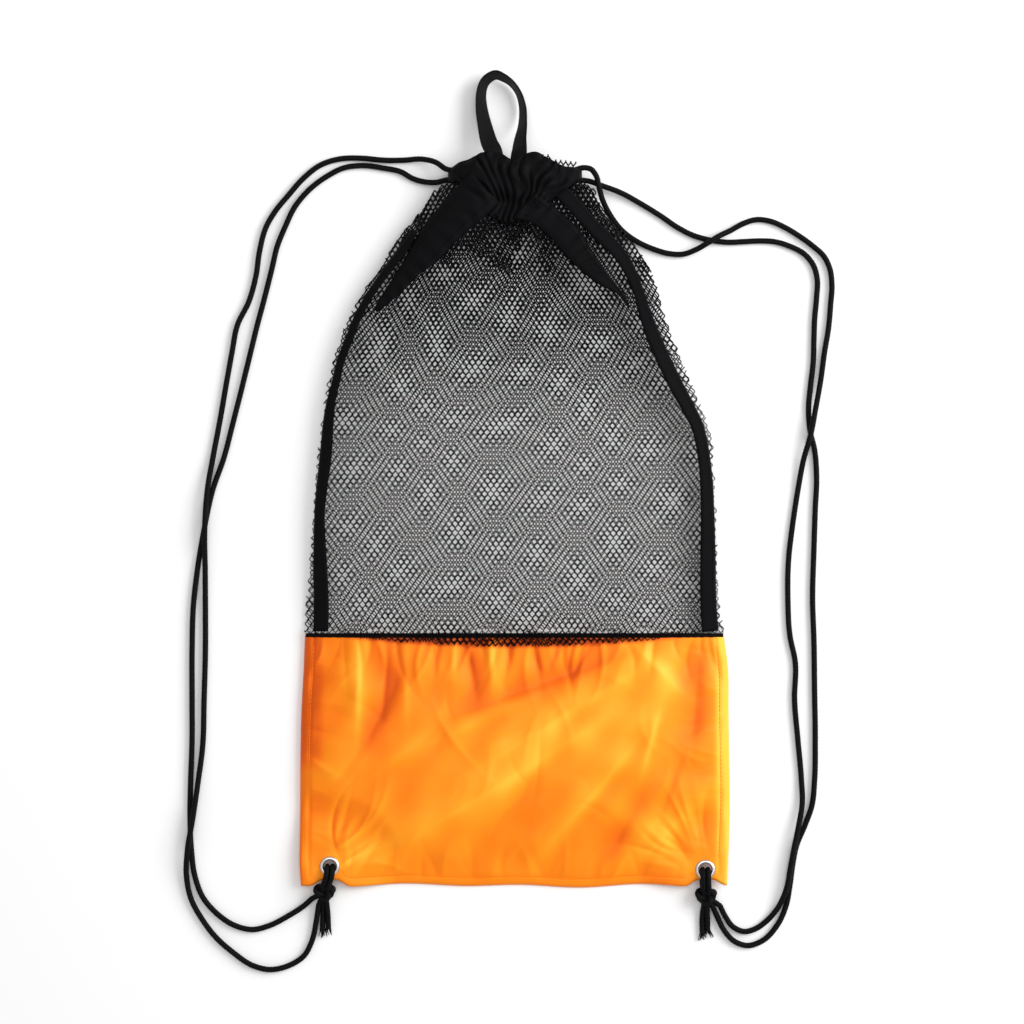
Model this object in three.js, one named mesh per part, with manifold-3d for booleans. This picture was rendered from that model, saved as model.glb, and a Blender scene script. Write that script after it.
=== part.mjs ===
// Mesh dive gear bag, lying flat: an orange cloth pouch below, a black net tube
// above it and a drawstring that gathers the neck and doubles as shoulder straps.
// Millimetres. X runs across the bag, Y up the bag towards its neck, and Z up
// from the surface that it lies on.
import * as THREE from 'three';
import { mergeVertices } from 'three/addons/utils/BufferGeometryUtils.js';
import Module from 'manifold-3d';

const wasm = await Module();
wasm.setup();

// Sizes of the bag
const bagWidth = 314;
const seamPlace = -118;
const pouchHeight = 184.8;
const pouchDepth = 18;
const pouchCloth = 1.6;
const sideHem = 3.2;
const netLength = 308;
const netDepth = 25;
const netWall = 1.6;
const netEdge = 4.5;
const strandWidth = 7;
const seamHeight = 4.4;
const seamWall = 2.4;
const hemHeight = 52;
const hemDepth = 29;
const hemWidth = 100;
const hemPleat = 1.6;
const hemMouthWidth = 40;
const hemMouthHeight = 12;
const hemCloth = 1.5;
const tapeWidth = 12;
const tapeCloth = 1.2;
const loopWidth = 31;
const loopHeight = 59.3;
const ribbonWidth = 13;
const ribbonThick = 1.6;
const clearance = 0.35;

// Eyelets in the pouch's lower corners
const eyeletDiameter = 14.8;
const eyeletBore = 9.6;
const eyeletBarrel = 0.8;
const eyeletFlange = 0.9;
const eyeletUp = 15.2;
const eyeletLeftIn = 18.6;
const eyeletRightIn = 14.8;
const cornerLift = 6;

// Drawstring
const cordDiameter = 4.2;
const knotWidth = 17;
const knotLength = 15.6;
const knotHeight = 13.4;

// How many cells the pieces are divided into
const pouchColumns = 19;
const pouchRows = 12;
const netColumns = 12;
const netRows = 10;
const hemColumns = 26;
const hemRows = 4;

// Free runs of drawstring, as centre points from the neck to the knots
const cordRuns = {
  cord_left_outer: [
  [-43.5, 229, 14], [-51, 230.5, 13], [-59, 236, 9.4], [-70, 239, 5], [-83, 238.5, 2.6],
  [-98, 238.5, 2.3], [-115, 240, 2.3], [-131, 239.5, 2.3], [-145.5, 235, 2.3], [-158.5, 225, 2.3],
  [-170, 212, 2.3], [-179.5, 200.5, 2.3], [-186.5, 188.5, 2.3], [-191.5, 170, 2.3],
  [-194, 152.5, 2.3], [-199.5, 132.5, 2.3], [-208, 115, 2.3], [-212, 95, 2.3], [-216.5, 70, 2.3],
  [-221, 44, 2.3], [-226, 17.5, 2.6], [-230, -7, 5.7], [-232, -38.5, 7.4], [-232, -68.5, 4.4],
  [-232, -95, 2.5], [-232, -128.5, 2.3], [-233, -166, 2.3], [-234, -200, 2.5],
  [-237.5, -228.5, 4.2], [-241, -254.5, 7.2], [-245, -278.5, 7], [-246, -298, 4.2],
  [-242.5, -315.5, 2.6], [-235, -329.5, 2.3], [-224, -344, 2.3], [-211.5, -355, 2.3],
  [-196.5, -365, 2.3], [-184, -368, 2.3], [-169.5, -365, 2.3], [-158, -357.5, 2.4],
  [-152, -346, 2.6], [-149, -332.5, 3.2], [-147, -319.5, 4.6],
  ],
  cord_left_inner: [
  [-43.5, 223.5, 9.5], [-51, 223, 8.4], [-58.5, 221.5, 6], [-67, 222, 3.6], [-76, 224.5, 2.5],
  [-86, 230, 2.3], [-98, 232.5, 2.3], [-115, 234.5, 2.3], [-129, 232.5, 2.3], [-140, 227, 2.3],
  [-153, 217.5, 2.3], [-165, 203.5, 2.3], [-172.5, 188, 2.3], [-178, 174.5, 2.3], [-182, 158, 2.3],
  [-187.5, 136, 2.3], [-193.5, 113.5, 2.3], [-199, 91, 2.3], [-205, 66.5, 2.3], [-211.5, 41, 2.3],
  [-218, 16, 2.3], [-226.5, -8.5, 2.3], [-233, -38.5, 2.3], [-238, -68.5, 2.3], [-241, -95, 2.3],
  [-242, -128.5, 2.3], [-242, -166, 2.3], [-242, -196, 2.3], [-243, -226, 2.3],
  [-243.5, -256, 2.3], [-242.5, -278.5, 2.3], [-240, -297.5, 2.3], [-233.5, -314.5, 2.3],
  [-224, -325.5, 2.3], [-211, -334.5, 2.3], [-196, -338, 2.3], [-184, -335, 2.4],
  [-169.5, -327.5, 2.7], [-158, -320, 3.4], [-152, -314.5, 4.6],
  ],
  cord_right_inner: [
  [47, 223, 9.5], [56, 222, 8], [65, 219, 6.3], [79, 214, 4.2], [94, 206, 2.7],
  [109.5, 196.5, 2.3], [122, 188, 2.3], [134, 182, 2.3], [147, 178.5, 2.3], [160, 177, 2.3],
  [172, 177.5, 2.3], [183, 178, 2.3], [194, 177.5, 2.3], [206, 174, 2.3], [217, 168, 2.3],
  [223.5, 160, 2.3], [226.5, 149, 2.3], [226, 136, 2.3], [224.5, 119, 2.3], [224, 104, 2.3],
  [223.5, 87.5, 2.3], [221.5, 70, 2.3], [220, 53, 2.3], [221, 36.5, 2.3], [224.5, 21.5, 2.3],
  [226, 2.5, 2.3], [225, -23.5, 2.3], [224, -53.5, 2.3], [223, -91, 2.3], [224, -121, 2.3],
  [224.5, -158.5, 2.3], [225, -196, 2.3], [224.5, -226, 2.3], [222.5, -245, 2.3],
  [217, -260.5, 2.3], [211, -275, 2.3], [208, -290, 2.3], [206, -305, 2.3], [203, -320.5, 2.3],
  [196, -335.5, 2.3], [186, -346, 2.3], [174, -350, 2.3], [164, -346.5, 2.4], [157, -339, 2.7],
  [152.5, -330.5, 3.4], [149, -322.5, 4.6],
  ],
  cord_right_outer: [
  [45, 230, 14], [51, 231.5, 14], [56.5, 230.5, 14], [60.5, 225.5, 13.6], [62.5, 218, 12.8],
  [65, 209, 9.8], [71, 197.5, 4.8], [81, 185, 2.6], [91.5, 177.5, 2.3], [103.5, 172, 2.3],
  [115.5, 168.5, 2.6], [126, 168, 3.4], [136, 171.5, 5.6], [144, 176, 7.3], [152, 181, 6.8],
  [161, 185.5, 4], [171, 191, 2.5], [181, 194, 2.3], [190.5, 193, 2.3], [202.5, 188, 2.3],
  [214, 181, 2.3], [223.5, 174, 2.3], [231.5, 166.5, 2.3], [236, 157, 2.3], [237.5, 145, 2.3],
  [236.5, 130, 2.3], [235, 113, 2.3], [232, 95, 2.5], [229, 74, 3.6], [225, 53, 6.6],
  [221, 32.5, 7.4], [216, 14, 4.6], [212, -8.5, 2.6], [208, -35, 2.3], [205, -61, 2.3],
  [204.5, -91, 2.3], [206, -117.5, 2.3], [210, -137.5, 2.3], [209.5, -166, 2.3], [212, -196, 2.3],
  [214.5, -224.5, 2.6], [215, -244, 4.2], [212, -260.5, 6.6], [209, -275, 7.6], [206, -290.5, 7.6],
  [203, -307, 6.8], [196.5, -322, 3.8], [188, -332, 2.5], [180, -337.5, 2.3], [172, -339.5, 2.3],
  [163.5, -336, 2.4], [157.5, -328, 2.8], [153.5, -320, 3.6],
  ],
};

// Pouch outline: half widths as shares of half the bag's width, and depth as a
// share of the pouch's depth, from its foot (0) to its mouth (1)
const pouchSections = [
  { along: 0.00, left: 1.020, right: 1.010, depth: 0.16 },
  { along: 0.08, left: 1.026, right: 1.014, depth: 0.38 },
  { along: 0.18, left: 1.026, right: 1.020, depth: 0.62 },
  { along: 0.32, left: 1.026, right: 1.026, depth: 0.86 },
  { along: 0.50, left: 1.025, right: 1.024, depth: 1.00 },
  { along: 0.70, left: 1.020, right: 1.020, depth: 0.98 },
  { along: 0.86, left: 1.010, right: 1.018, depth: 0.92 },
  { along: 1.00, left: 1.003, right: 0.998, depth: 0.88 },
];

// How far in from the side hems the pouch's hollow starts, as a share of the half width
const pouchHollow = [
  { along: 0.13, half: 0.70 },
  { along: 0.20, half: 0.80 },
  { along: 0.30, half: 0.90 },
  { along: 0.45, half: 0.955 },
  { along: 1.00, half: 0.975 },
];

// Main folds of the pouch's upper face: place, length and breadth as shares of the
// half width and height, turn in degrees from the bag's length, and rise as a share
// of the pouch's depth (negative for a dent)
const pouchFolds = [
  { across: -0.76, along: 0.80, run: 0.20, breadth: 0.06, turn: 4, rise: 0.12 },
  { across: -0.61, along: 0.84, run: 0.16, breadth: 0.06, turn: -6, rise: -0.12 },
  { across: -0.19, along: 0.86, run: 0.14, breadth: 0.05, turn: -10, rise: -0.10 },
  { across: -0.11, along: 0.90, run: 0.12, breadth: 0.05, turn: 8, rise: 0.10 },
  { across: 0.20, along: 0.83, run: 0.22, breadth: 0.06, turn: -58, rise: -0.14 },
  { across: 0.66, along: 0.86, run: 0.14, breadth: 0.12, turn: -30, rise: 0.10 },
  { across: 0.86, along: 0.74, run: 0.22, breadth: 0.06, turn: 6, rise: -0.14 },
  { across: -0.88, along: 0.49, run: 0.12, breadth: 0.08, turn: -40, rise: 0.12 },
  { across: -0.06, along: 0.48, run: 0.30, breadth: 0.10, turn: -42, rise: 0.12 },
  { across: 0.10, along: 0.34, run: 0.30, breadth: 0.08, turn: -50, rise: -0.10 },
  { across: 0.40, along: 0.60, run: 0.26, breadth: 0.10, turn: -48, rise: 0.08 },
  { across: -0.55, along: 0.22, run: 0.22, breadth: 0.06, turn: -62, rise: 0.10 },
  { across: 0.62, along: 0.22, run: 0.22, breadth: 0.06, turn: 60, rise: 0.10 },
  { across: -0.70, along: 0.62, run: 0.16, breadth: 0.07, turn: 24, rise: -0.08 },
];

// Net outline: half widths as shares of half the bag's width, and depth as a share
// of the net's depth, from the seam (0) to the neck (1)
const netSections = [
  { along: 0.000, left: 1.003, right: 0.998, depth: 0.64 },
  { along: 0.082, left: 0.994, right: 0.970, depth: 0.74 },
  { along: 0.174, left: 0.979, right: 0.965, depth: 0.84 },
  { along: 0.266, left: 0.965, right: 0.960, depth: 0.92 },
  { along: 0.357, left: 0.951, right: 0.951, depth: 0.97 },
  { along: 0.450, left: 0.932, right: 0.936, depth: 1.00 },
  { along: 0.541, left: 0.908, right: 0.869, depth: 1.00 },
  { along: 0.633, left: 0.865, right: 0.788, depth: 1.00 },
  { along: 0.725, left: 0.798, right: 0.717, depth: 0.99 },
  { along: 0.816, left: 0.693, right: 0.659, depth: 0.98 },
  { along: 0.862, left: 0.626, right: 0.615, depth: 0.98 },
  { along: 0.909, left: 0.564, right: 0.545, depth: 0.98 },
  { along: 0.945, left: 0.506, right: 0.465, depth: 0.98 },
  { along: 1.000, left: 0.414, right: 0.385, depth: 0.98 },
];

// Top edge of the net, where the gathered hem starts: across as a share of half the
// bag's width, rise as a share of the hem's height above the net's length
const netTopEdge = [
  { across: -0.414, rise: 0.33 },
  { across: -0.357, rise: 0.46 },
  { across: -0.312, rise: 0.53 },
  { across: -0.248, rise: 0.56 },
  { across: -0.190, rise: 0.36 },
  { across: -0.129, rise: 0.16 },
  { across: -0.010, rise: 0.00 },
  { across: 0.072, rise: 0.15 },
  { across: 0.206, rise: 0.41 },
  { across: 0.248, rise: 0.50 },
  { across: 0.320, rise: 0.54 },
  { across: 0.357, rise: 0.47 },
  { across: 0.414, rise: 0.31 },
];

// Upper edge of the gathered hem, in the same shares
const hemTopEdge = [
  { across: -0.320, rise: 0.84 },
  { across: -0.220, rise: 0.90 },
  { across: -0.148, rise: 1.00 },
  { across: -0.064, rise: 0.98 },
  { across: -0.020, rise: 0.90 },
  { across: 0.053, rise: 0.98 },
  { across: 0.096, rise: 1.00 },
  { across: 0.166, rise: 0.94 },
  { across: 0.239, rise: 0.85 },
  { across: 0.320, rise: 0.86 },
];

// Binding tapes: centre line as shares of half the bag's width and of the net's
// length, and width as a share of the tape's
const tapeRuns = {
  side_tape_left: [
    { across: -0.924, up: 0.012, width: 0.94 },
    { across: -0.922, up: 0.090, width: 0.96 },
    { across: -0.927, up: 0.177, width: 0.88 },
    { across: -0.930, up: 0.287, width: 0.69 },
    { across: -0.920, up: 0.353, width: 0.72 },
    { across: -0.900, up: 0.438, width: 0.78 },
    { across: -0.886, up: 0.526, width: 0.69 },
    { across: -0.869, up: 0.582, width: 0.56 },
    { across: -0.850, up: 0.618, width: 0.53 },
    { across: -0.830, up: 0.664, width: 0.53 },
    { across: -0.803, up: 0.701, width: 0.53 },
    { across: -0.775, up: 0.737, width: 0.53 },
    { across: -0.744, up: 0.776, width: 0.53 },
    { across: -0.705, up: 0.813, width: 0.53 },
    { across: -0.662, up: 0.847, width: 0.53 },
    { across: -0.621, up: 0.876, width: 0.56 },
    { across: -0.580, up: 0.905, width: 0.56 },
    { across: -0.540, up: 0.930, width: 0.56 },
  ],
  side_tape_right: [
    { across: 0.929, up: 0.012, width: 1.06 },
    { across: 0.920, up: 0.090, width: 1.03 },
    { across: 0.918, up: 0.185, width: 1.00 },
    { across: 0.915, up: 0.306, width: 0.88 },
    { across: 0.905, up: 0.404, width: 0.81 },
    { across: 0.874, up: 0.496, width: 0.81 },
    { across: 0.826, up: 0.550, width: 0.88 },
    { across: 0.764, up: 0.608, width: 0.94 },
    { across: 0.707, up: 0.667, width: 0.94 },
    { across: 0.664, up: 0.716, width: 0.94 },
    { across: 0.621, up: 0.774, width: 0.81 },
    { across: 0.592, up: 0.823, width: 0.69 },
    { across: 0.560, up: 0.866, width: 0.75 },
    { across: 0.502, up: 0.920, width: 0.88 },
    { across: 0.420, up: 0.964, width: 0.94 },
    { across: 0.354, up: 0.998, width: 0.90 },
    { across: 0.300, up: 1.026, width: 0.80 },
  ],
};

// Flat ends of the drawstring tunnel: outer and inner edge in the same shares
const wingRuns = {
  channel_wing_left: [
    { outer: -0.287, outerUp: 1.080, inner: -0.148, innerUp: 1.010 },
    { outer: -0.358, outerUp: 1.039, inner: -0.215, innerUp: 0.981 },
    { outer: -0.439, outerUp: 0.986, inner: -0.287, innerUp: 0.947 },
    { outer: -0.497, outerUp: 0.937, inner: -0.373, innerUp: 0.903 },
    { outer: -0.540, outerUp: 0.898, inner: -0.454, innerUp: 0.874 },
    { outer: -0.583, outerUp: 0.864, inner: -0.516, innerUp: 0.840 },
    { outer: -0.626, outerUp: 0.830, inner: -0.578, innerUp: 0.813 },
    { outer: -0.669, outerUp: 0.793, inner: -0.650, innerUp: 0.784 },
  ],
  channel_wing_right: [
    { outer: 0.180, outerUp: 1.040, inner: 0.091, innerUp: 1.005 },
    { outer: 0.233, outerUp: 1.008, inner: 0.162, innerUp: 0.982 },
    { outer: 0.290, outerUp: 0.972, inner: 0.234, innerUp: 0.944 },
    { outer: 0.350, outerUp: 0.930, inner: 0.301, innerUp: 0.901 },
    { outer: 0.414, outerUp: 0.884, inner: 0.382, innerUp: 0.859 },
    { outer: 0.480, outerUp: 0.840, inner: 0.459, innerUp: 0.830 },
    { outer: 0.543, outerUp: 0.804, inner: 0.530, innerUp: 0.798 },
  ],
};

// Ribbon loop: centre line as shares of the loop's width and height, height above
// the surface as a share of the ribbon's width, and twist in degrees from lying flat
const loopRun = [
  { across: 0.056, up: 0.000, lift: 1.60, twist: 4 },
  { across: -0.056, up: 0.140, lift: 1.22, twist: 16 },
  { across: -0.150, up: 0.340, lift: 0.86, twist: 33 },
  { across: -0.226, up: 0.540, lift: 0.66, twist: 45 },
  { across: -0.250, up: 0.730, lift: 0.57, twist: 55 },
  { across: -0.200, up: 0.870, lift: 0.57, twist: 60 },
  { across: -0.080, up: 0.955, lift: 0.58, twist: 63 },
  { across: 0.105, up: 1.000, lift: 0.58, twist: 66 },
  { across: 0.290, up: 0.965, lift: 0.59, twist: 70 },
  { across: 0.460, up: 0.905, lift: 0.59, twist: 74 },
  { across: 0.605, up: 0.815, lift: 0.59, twist: 75 },
  { across: 0.702, up: 0.705, lift: 0.59, twist: 72 },
  { across: 0.758, up: 0.555, lift: 0.58, twist: 66 },
  { across: 0.746, up: 0.370, lift: 0.74, twist: 60 },
  { across: 0.686, up: 0.160, lift: 1.14, twist: 45 },
  { across: 0.666, up: 0.000, lift: 1.52, twist: 28 },
];
const loopLeftLeg = 0.62;

// Value of one column of a table at a place, between its rows
function column(table, key, name, at) {
  if (at <= table[0][key]) return table[0][name];
  for (let i = 1; i < table.length; i += 1) {
    const low = table[i - 1];
    const high = table[i];
    if (at <= high[key]) {
      const share = (at - low[key]) / (high[key] - low[key]);
      return low[name] + share * (high[name] - low[name]);
    }
  }
  return table[table.length - 1][name];
}

function smooth(value, from, to) {
  return THREE.MathUtils.smoothstep(value, from, to);
}

function mix(from, to, share) {
  return from + (to - from) * share;
}

// Rounded section of a flat bag: 1 in the middle, 0 at the side seams
function swell(across) {
  return Math.pow(1 - Math.pow(Math.min(1, Math.abs(across)), 3.2), 0.55);
}

const halfWidth = bagWidth / 2;
const seamLow = seamPlace - seamHeight / 2;
const seamHigh = seamPlace + seamHeight / 2;
const pouchFoot = seamLow - pouchHeight;
const hemStart = seamPlace + netLength;

const eyeletZ = cornerLift + sideHem / 2;
const eyelets = {
  left: new THREE.Vector2(-halfWidth + eyeletLeftIn, pouchFoot + eyeletUp),
  right: new THREE.Vector2(halfWidth - eyeletRightIn, pouchFoot + eyeletUp - 2.4),
};

// Closed solid from outer and inner rings of points, open at its last ring and
// either open or shut at its first
function ringSolid(outer, inner, shut) {
  const points = [];
  const faces = [];
  const add = (ring) => ring.map((point) => points.push(point) - 1);
  const quad = (a, b, c, d) => faces.push(a, c, b, a, d, c);
  const out = outer.map(add);
  const inn = inner.map(add);
  const count = outer[0].length;
  for (let k = 0; k < count; k += 1) {
    const n = (k + 1) % count;
    for (let j = 0; j + 1 < out.length; j += 1) {
      quad(out[j][k], out[j + 1][k], out[j + 1][n], out[j][n]);
    }
    for (let j = 0; j + 1 < inn.length; j += 1) {
      quad(inn[j][k], inn[j][n], inn[j + 1][n], inn[j + 1][k]);
    }
    const lastOut = out[out.length - 1];
    const lastIn = inn[inn.length - 1];
    quad(lastOut[k], lastIn[k], lastIn[n], lastOut[n]);
    if (!shut) quad(out[0][k], out[0][n], inn[0][n], inn[0][k]);
  }
  if (shut) {
    const half = count / 2;
    for (let k = 0; k + 1 < half; k += 1) {
      const back = count - 1 - k;
      quad(out[0][k], out[0][k + 1], out[0][back - 1], out[0][back]);
      quad(inn[0][k], inn[0][back], inn[0][back - 1], inn[0][k + 1]);
    }
  }
  return geometryFrom(points, faces);
}

function geometryFrom(points, faces) {
  const geometry = new THREE.BufferGeometry().setFromPoints(points);
  geometry.setIndex(faces);
  return geometry;
}

// The same closed mesh as a solid that can be cut and joined
function solidFrom(geometry) {
  const bare = geometry.clone();
  bare.deleteAttribute('normal');
  bare.deleteAttribute('uv');
  const merged = mergeVertices(bare, 1e-4);
  return new wasm.Manifold(new wasm.Mesh({
    numProp: 3,
    vertProperties: new Float32Array(merged.attributes.position.array),
    triVerts: new Uint32Array(merged.index.array),
  }));
}

function geometryOf(solid) {
  const mesh = solid.getMesh();
  const geometry = new THREE.BufferGeometry();
  geometry.setAttribute('position', new THREE.BufferAttribute(mesh.vertProperties, 3));
  geometry.setIndex(new THREE.BufferAttribute(mesh.triVerts, 1));
  return geometry;
}

// Places of the pouch's upper and lower face
function pouchPoint(across, along, face) {
  const side = across < 0 ? 'left' : 'right';
  const x = across * halfWidth * column(pouchSections, 'along', side, along);
  const tuck = 5.4 / pouchHeight;
  let foot = 0;
  for (const eyelet of Object.values(eyelets)) {
    foot += tuck * (1 - smooth(Math.abs(x - eyelet.x), 4, 16));
  }
  const y = mix(pouchFoot + foot * pouchHeight, seamLow - clearance, along);
  let apart = Infinity;
  for (const eyelet of Object.values(eyelets)) {
    apart = Math.min(apart, Math.hypot(x - eyelet.x, y - eyelet.y));
  }
  const low = cornerLift * (1 - smooth(apart, 17, 52));
  if (face === 'low') return new THREE.Vector3(x, y, low);
  const depth = pouchDepth * column(pouchSections, 'along', 'depth', along);
  const full = Math.max(0, depth - sideHem) * swell(across) * smooth(apart, 17, 56);
  let folds = 0;
  for (const fold of pouchFolds) {
    const turn = THREE.MathUtils.degToRad(fold.turn);
    const dx = (x - fold.across * halfWidth) / pouchHeight;
    const dy = (y - mix(pouchFoot, seamLow, fold.along)) / pouchHeight;
    const run = (dy * Math.cos(turn) - dx * Math.sin(turn)) / fold.run;
    const wide = (dx * Math.cos(turn) + dy * Math.sin(turn)) / fold.breadth;
    folds += fold.rise * pouchDepth * Math.exp(-run * run - wide * wide);
  }
  const free = swell(across) * smooth(apart, 20, 56) * smooth(along, 0, 0.2)
    * (1 - 0.7 * smooth(along, 0.9, 1));
  return new THREE.Vector3(x, y, low + sideHem + full + folds * free);
}

function pouchRing(along, half, wall) {
  const ring = [];
  for (let k = 0; k <= pouchColumns; k += 1) {
    const point = pouchPoint(half * (2 * k / pouchColumns - 1), along, 'high');
    point.z -= wall;
    ring.push(point);
  }
  for (let k = pouchColumns; k >= 0; k -= 1) {
    const point = pouchPoint(half * (2 * k / pouchColumns - 1), along, 'low');
    point.z += wall;
    ring.push(point);
  }
  return ring;
}

// Eyelet of one corner: a spool section turned about its own axis
function eyeletGeometry(spare) {
  const bore = eyeletBore / 2;
  const barrel = bore + eyeletBarrel;
  const rim = eyeletDiameter / 2;
  const grip = sideHem / 2 + clearance;
  const top = grip + eyeletFlange;
  const section = spare === 0
    ? [[bore, -top], [rim, -top], [rim, -grip], [barrel, -grip],
      [barrel, grip], [rim, grip], [rim, top], [bore, top], [bore, -top]]
    : [[0, -top - 20], [rim + spare, -top - 20], [rim + spare, -grip + spare],
      [barrel + spare, -grip + spare], [barrel + spare, grip - spare],
      [rim + spare, grip - spare], [rim + spare, top + 20], [0, top + 20]];
  const profile = section.map(([r, z]) => new THREE.Vector2(r, z));
  return new THREE.LatheGeometry(profile, 16).rotateX(Math.PI / 2);
}

function pouchGeometry() {
  const outer = [];
  const inner = [];
  const hollowFoot = pouchHollow[0].along;
  for (let j = 0; j < pouchRows; j += 1) {
    const share = j / (pouchRows - 1);
    outer.push(pouchRing(share, 1, 0));
    const along = mix(hollowFoot, 1, share);
    const half = column(pouchHollow, 'along', 'half', along);
    inner.push(pouchRing(along, half, pouchCloth));
  }
  let solid = solidFrom(ringSolid(outer, inner, true));
  for (const eyelet of Object.values(eyelets)) {
    const seat = eyeletGeometry(clearance).translate(eyelet.x, eyelet.y, eyeletZ);
    solid = solid.subtract(solidFrom(seat));
  }
  return geometryOf(solid);
}

// Hem ring between the pouch's mouth and the net
function seamGeometry() {
  const ring = (y, raise, half, wall) => pouchRing(1, half, 0).map((point, k, all) => {
    const upper = k < all.length / 2;
    const lift = upper ? raise - wall : wall + 0.3;
    return new THREE.Vector3(point.x, y, point.z + lift);
  });
  const inside = pouchHollow[pouchHollow.length - 1].half;
  const outer = [ring(seamLow, 0.6, 1.003, 0), ring(seamHigh, 0.6, 1.003, 0)];
  const inner = [ring(seamLow, 0.6, inside, seamWall), ring(seamHigh, 0.6, inside, seamWall)];
  return ringSolid(outer, inner, false);
}

// Places of the net tube, round it from its left edge over the top and back below
function netTop(x) {
  return hemStart + hemHeight * column(netTopEdge, 'across', 'rise', x / halfWidth);
}

function netPlace(across, along) {
  const side = across < 0 ? 'left' : 'right';
  const half = halfWidth * column(netSections, 'along', side, along);
  const neck = halfWidth * netSections[netSections.length - 1][side];
  const start = seamHigh + clearance;
  return new THREE.Vector2(across * half, mix(start, netTop(across * neck) - clearance, along));
}

function netHeight(across, along) {
  const edge = mix(sideHem / 2, netEdge, smooth(along, 0, 0.3));
  const depth = netDepth * column(netSections, 'along', 'depth', along);
  return edge + (depth - edge) * swell(across);
}

function netPoint(around, along, wall) {
  const turn = ((around / netColumns) % 2 + 2) % 2;
  const upper = turn <= 1;
  const place = upper ? 2 * turn - 1 : 3 - 2 * turn;
  const across = place * (1.15 - 0.15 * place * place);
  const flat = netPlace(across, along);
  const edge = mix(sideHem / 2, netEdge, smooth(along, 0, 0.3));
  const below = edge * (1 - Math.sqrt(Math.max(0, 1 - Math.pow(Math.abs(across), 6))));
  const at = upper ? netHeight(across, along) : below;
  const middle = edge + 1;
  const x = flat.x * (1 - wall / (halfWidth * 0.5));
  const inward = Math.sign(middle - at) * Math.min(wall, Math.abs(middle - at));
  return new THREE.Vector3(x, flat.y, at + inward);
}

// Net tube as a lattice of diamonds, each with a hole through both of its faces
function netGeometry() {
  const points = [];
  const faces = [];
  const known = new Map();
  const around = 2 * netColumns;
  const cell = bagWidth / netColumns;
  const rise = netLength / netRows;
  const open = 1 - strandWidth * Math.hypot(cell, rise) / (2 * cell * rise);
  const corner = (i, j, face) => {
    const wrapped = ((i % around) + around) % around;
    const key = `${wrapped.toFixed(4)} ${j.toFixed(4)} ${face}`;
    if (!known.has(key)) {
      known.set(key, points.length);
      points.push(netPoint(wrapped, j / netRows, face === 'in' ? netWall : 0));
    }
    return known.get(key);
  };
  const both = (...places) => {
    const out = places.map(([i, j]) => corner(i, j, 'out'));
    const inn = places.map(([i, j]) => corner(i, j, 'in'));
    faces.push(out[0], out[1], out[2]);
    faces.push(inn[0], inn[2], inn[1]);
  };
  const wall = (from, to) => {
    const a = corner(...from, 'out');
    const b = corner(...to, 'out');
    const c = corner(...to, 'in');
    const d = corner(...from, 'in');
    faces.push(a, c, b, a, d, c);
  };
  for (let j = 0; j <= netRows; j += 1) {
    for (let i = (j + 1) % 2; i < around; i += 2) {
      const left = [i - 1, j];
      const right = [i + 1, j];
      const above = [i, j + 1];
      const below = [i, j - 1];
      if (j === 0) {
        both(left, [i, j], above);
        both([i, j], right, above);
        wall(left, [i, j]);
        wall([i, j], right);
      } else if (j === netRows) {
        both(left, below, [i, j]);
        both([i, j], below, right);
        wall([i, j], left);
        wall(right, [i, j]);
      } else {
        const ring = [left, below, right, above];
        const hole = ring.map(([a, b]) => [i + (a - i) * open, j + (b - j) * open]);
        for (let k = 0; k < 4; k += 1) {
          const n = (k + 1) % 4;
          both(ring[k], ring[n], hole[n]);
          both(ring[k], hole[n], hole[k]);
          wall(hole[n], hole[k]);
        }
      }
    }
  }
  return geometryFrom(points, faces);
}

// Height of the net's upper face over a place
function netSurface(x, y) {
  let along = (y - seamHigh) / netLength;
  let across = 0;
  for (let turn = 0; turn < 6; turn += 1) {
    const side = x < 0 ? 'left' : 'right';
    across = x / (halfWidth * column(netSections, 'along', side, THREE.MathUtils.clamp(along, 0, 1)));
    across = THREE.MathUtils.clamp(across, -1, 1);
    const low = netPlace(across, 0).y;
    const high = netPlace(across, 1).y;
    along = (y - low) / (high - low);
  }
  return netHeight(across, THREE.MathUtils.clamp(along, 0, 1));
}

// Cloth strip that lies on the net between two edges
function stripGeometry(edges, cloth) {
  const points = [];
  const faces = [];
  const quad = (a, b, c, d) => faces.push(a, b, c, a, c, d);
  for (const [left, right] of edges) {
    for (const layer of [0, cloth]) {
      for (const share of [0, 0.5, 1]) {
        const x = mix(left.x, right.x, share);
        const y = mix(left.y, right.y, share);
        points.push(new THREE.Vector3(x, y, netSurface(x, y) + 2 * clearance + layer));
      }
    }
  }
  for (let j = 0; j + 1 < edges.length; j += 1) {
    const a = 6 * j;
    const b = a + 6;
    for (const k of [0, 1]) {
      quad(a + k, b + k, b + k + 1, a + k + 1);
      quad(a + 3 + k, a + 4 + k, b + 4 + k, b + 3 + k);
    }
    quad(a, a + 3, b + 3, b);
    quad(a + 2, b + 2, b + 5, a + 5);
  }
  const last = 6 * (edges.length - 1);
  for (const k of [0, 1]) {
    quad(k, k + 1, k + 4, k + 3);
    quad(last + k, last + k + 3, last + k + 4, last + k + 1);
  }
  return geometryFrom(points, faces);
}

function tapeGeometry(rows) {
  const centres = rows.map((row) => new THREE.Vector2(
    row.across * halfWidth,
    seamPlace + row.up * netLength,
  ));
  const edges = rows.map((row, i) => {
    const before = centres[Math.max(0, i - 1)];
    const after = centres[Math.min(rows.length - 1, i + 1)];
    const run = after.clone().sub(before).normalize();
    const side = new THREE.Vector2(run.y, -run.x).multiplyScalar(row.width * tapeWidth / 2);
    return [centres[i].clone().sub(side), centres[i].clone().add(side)];
  });
  return stripGeometry(edges, tapeCloth);
}

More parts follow.
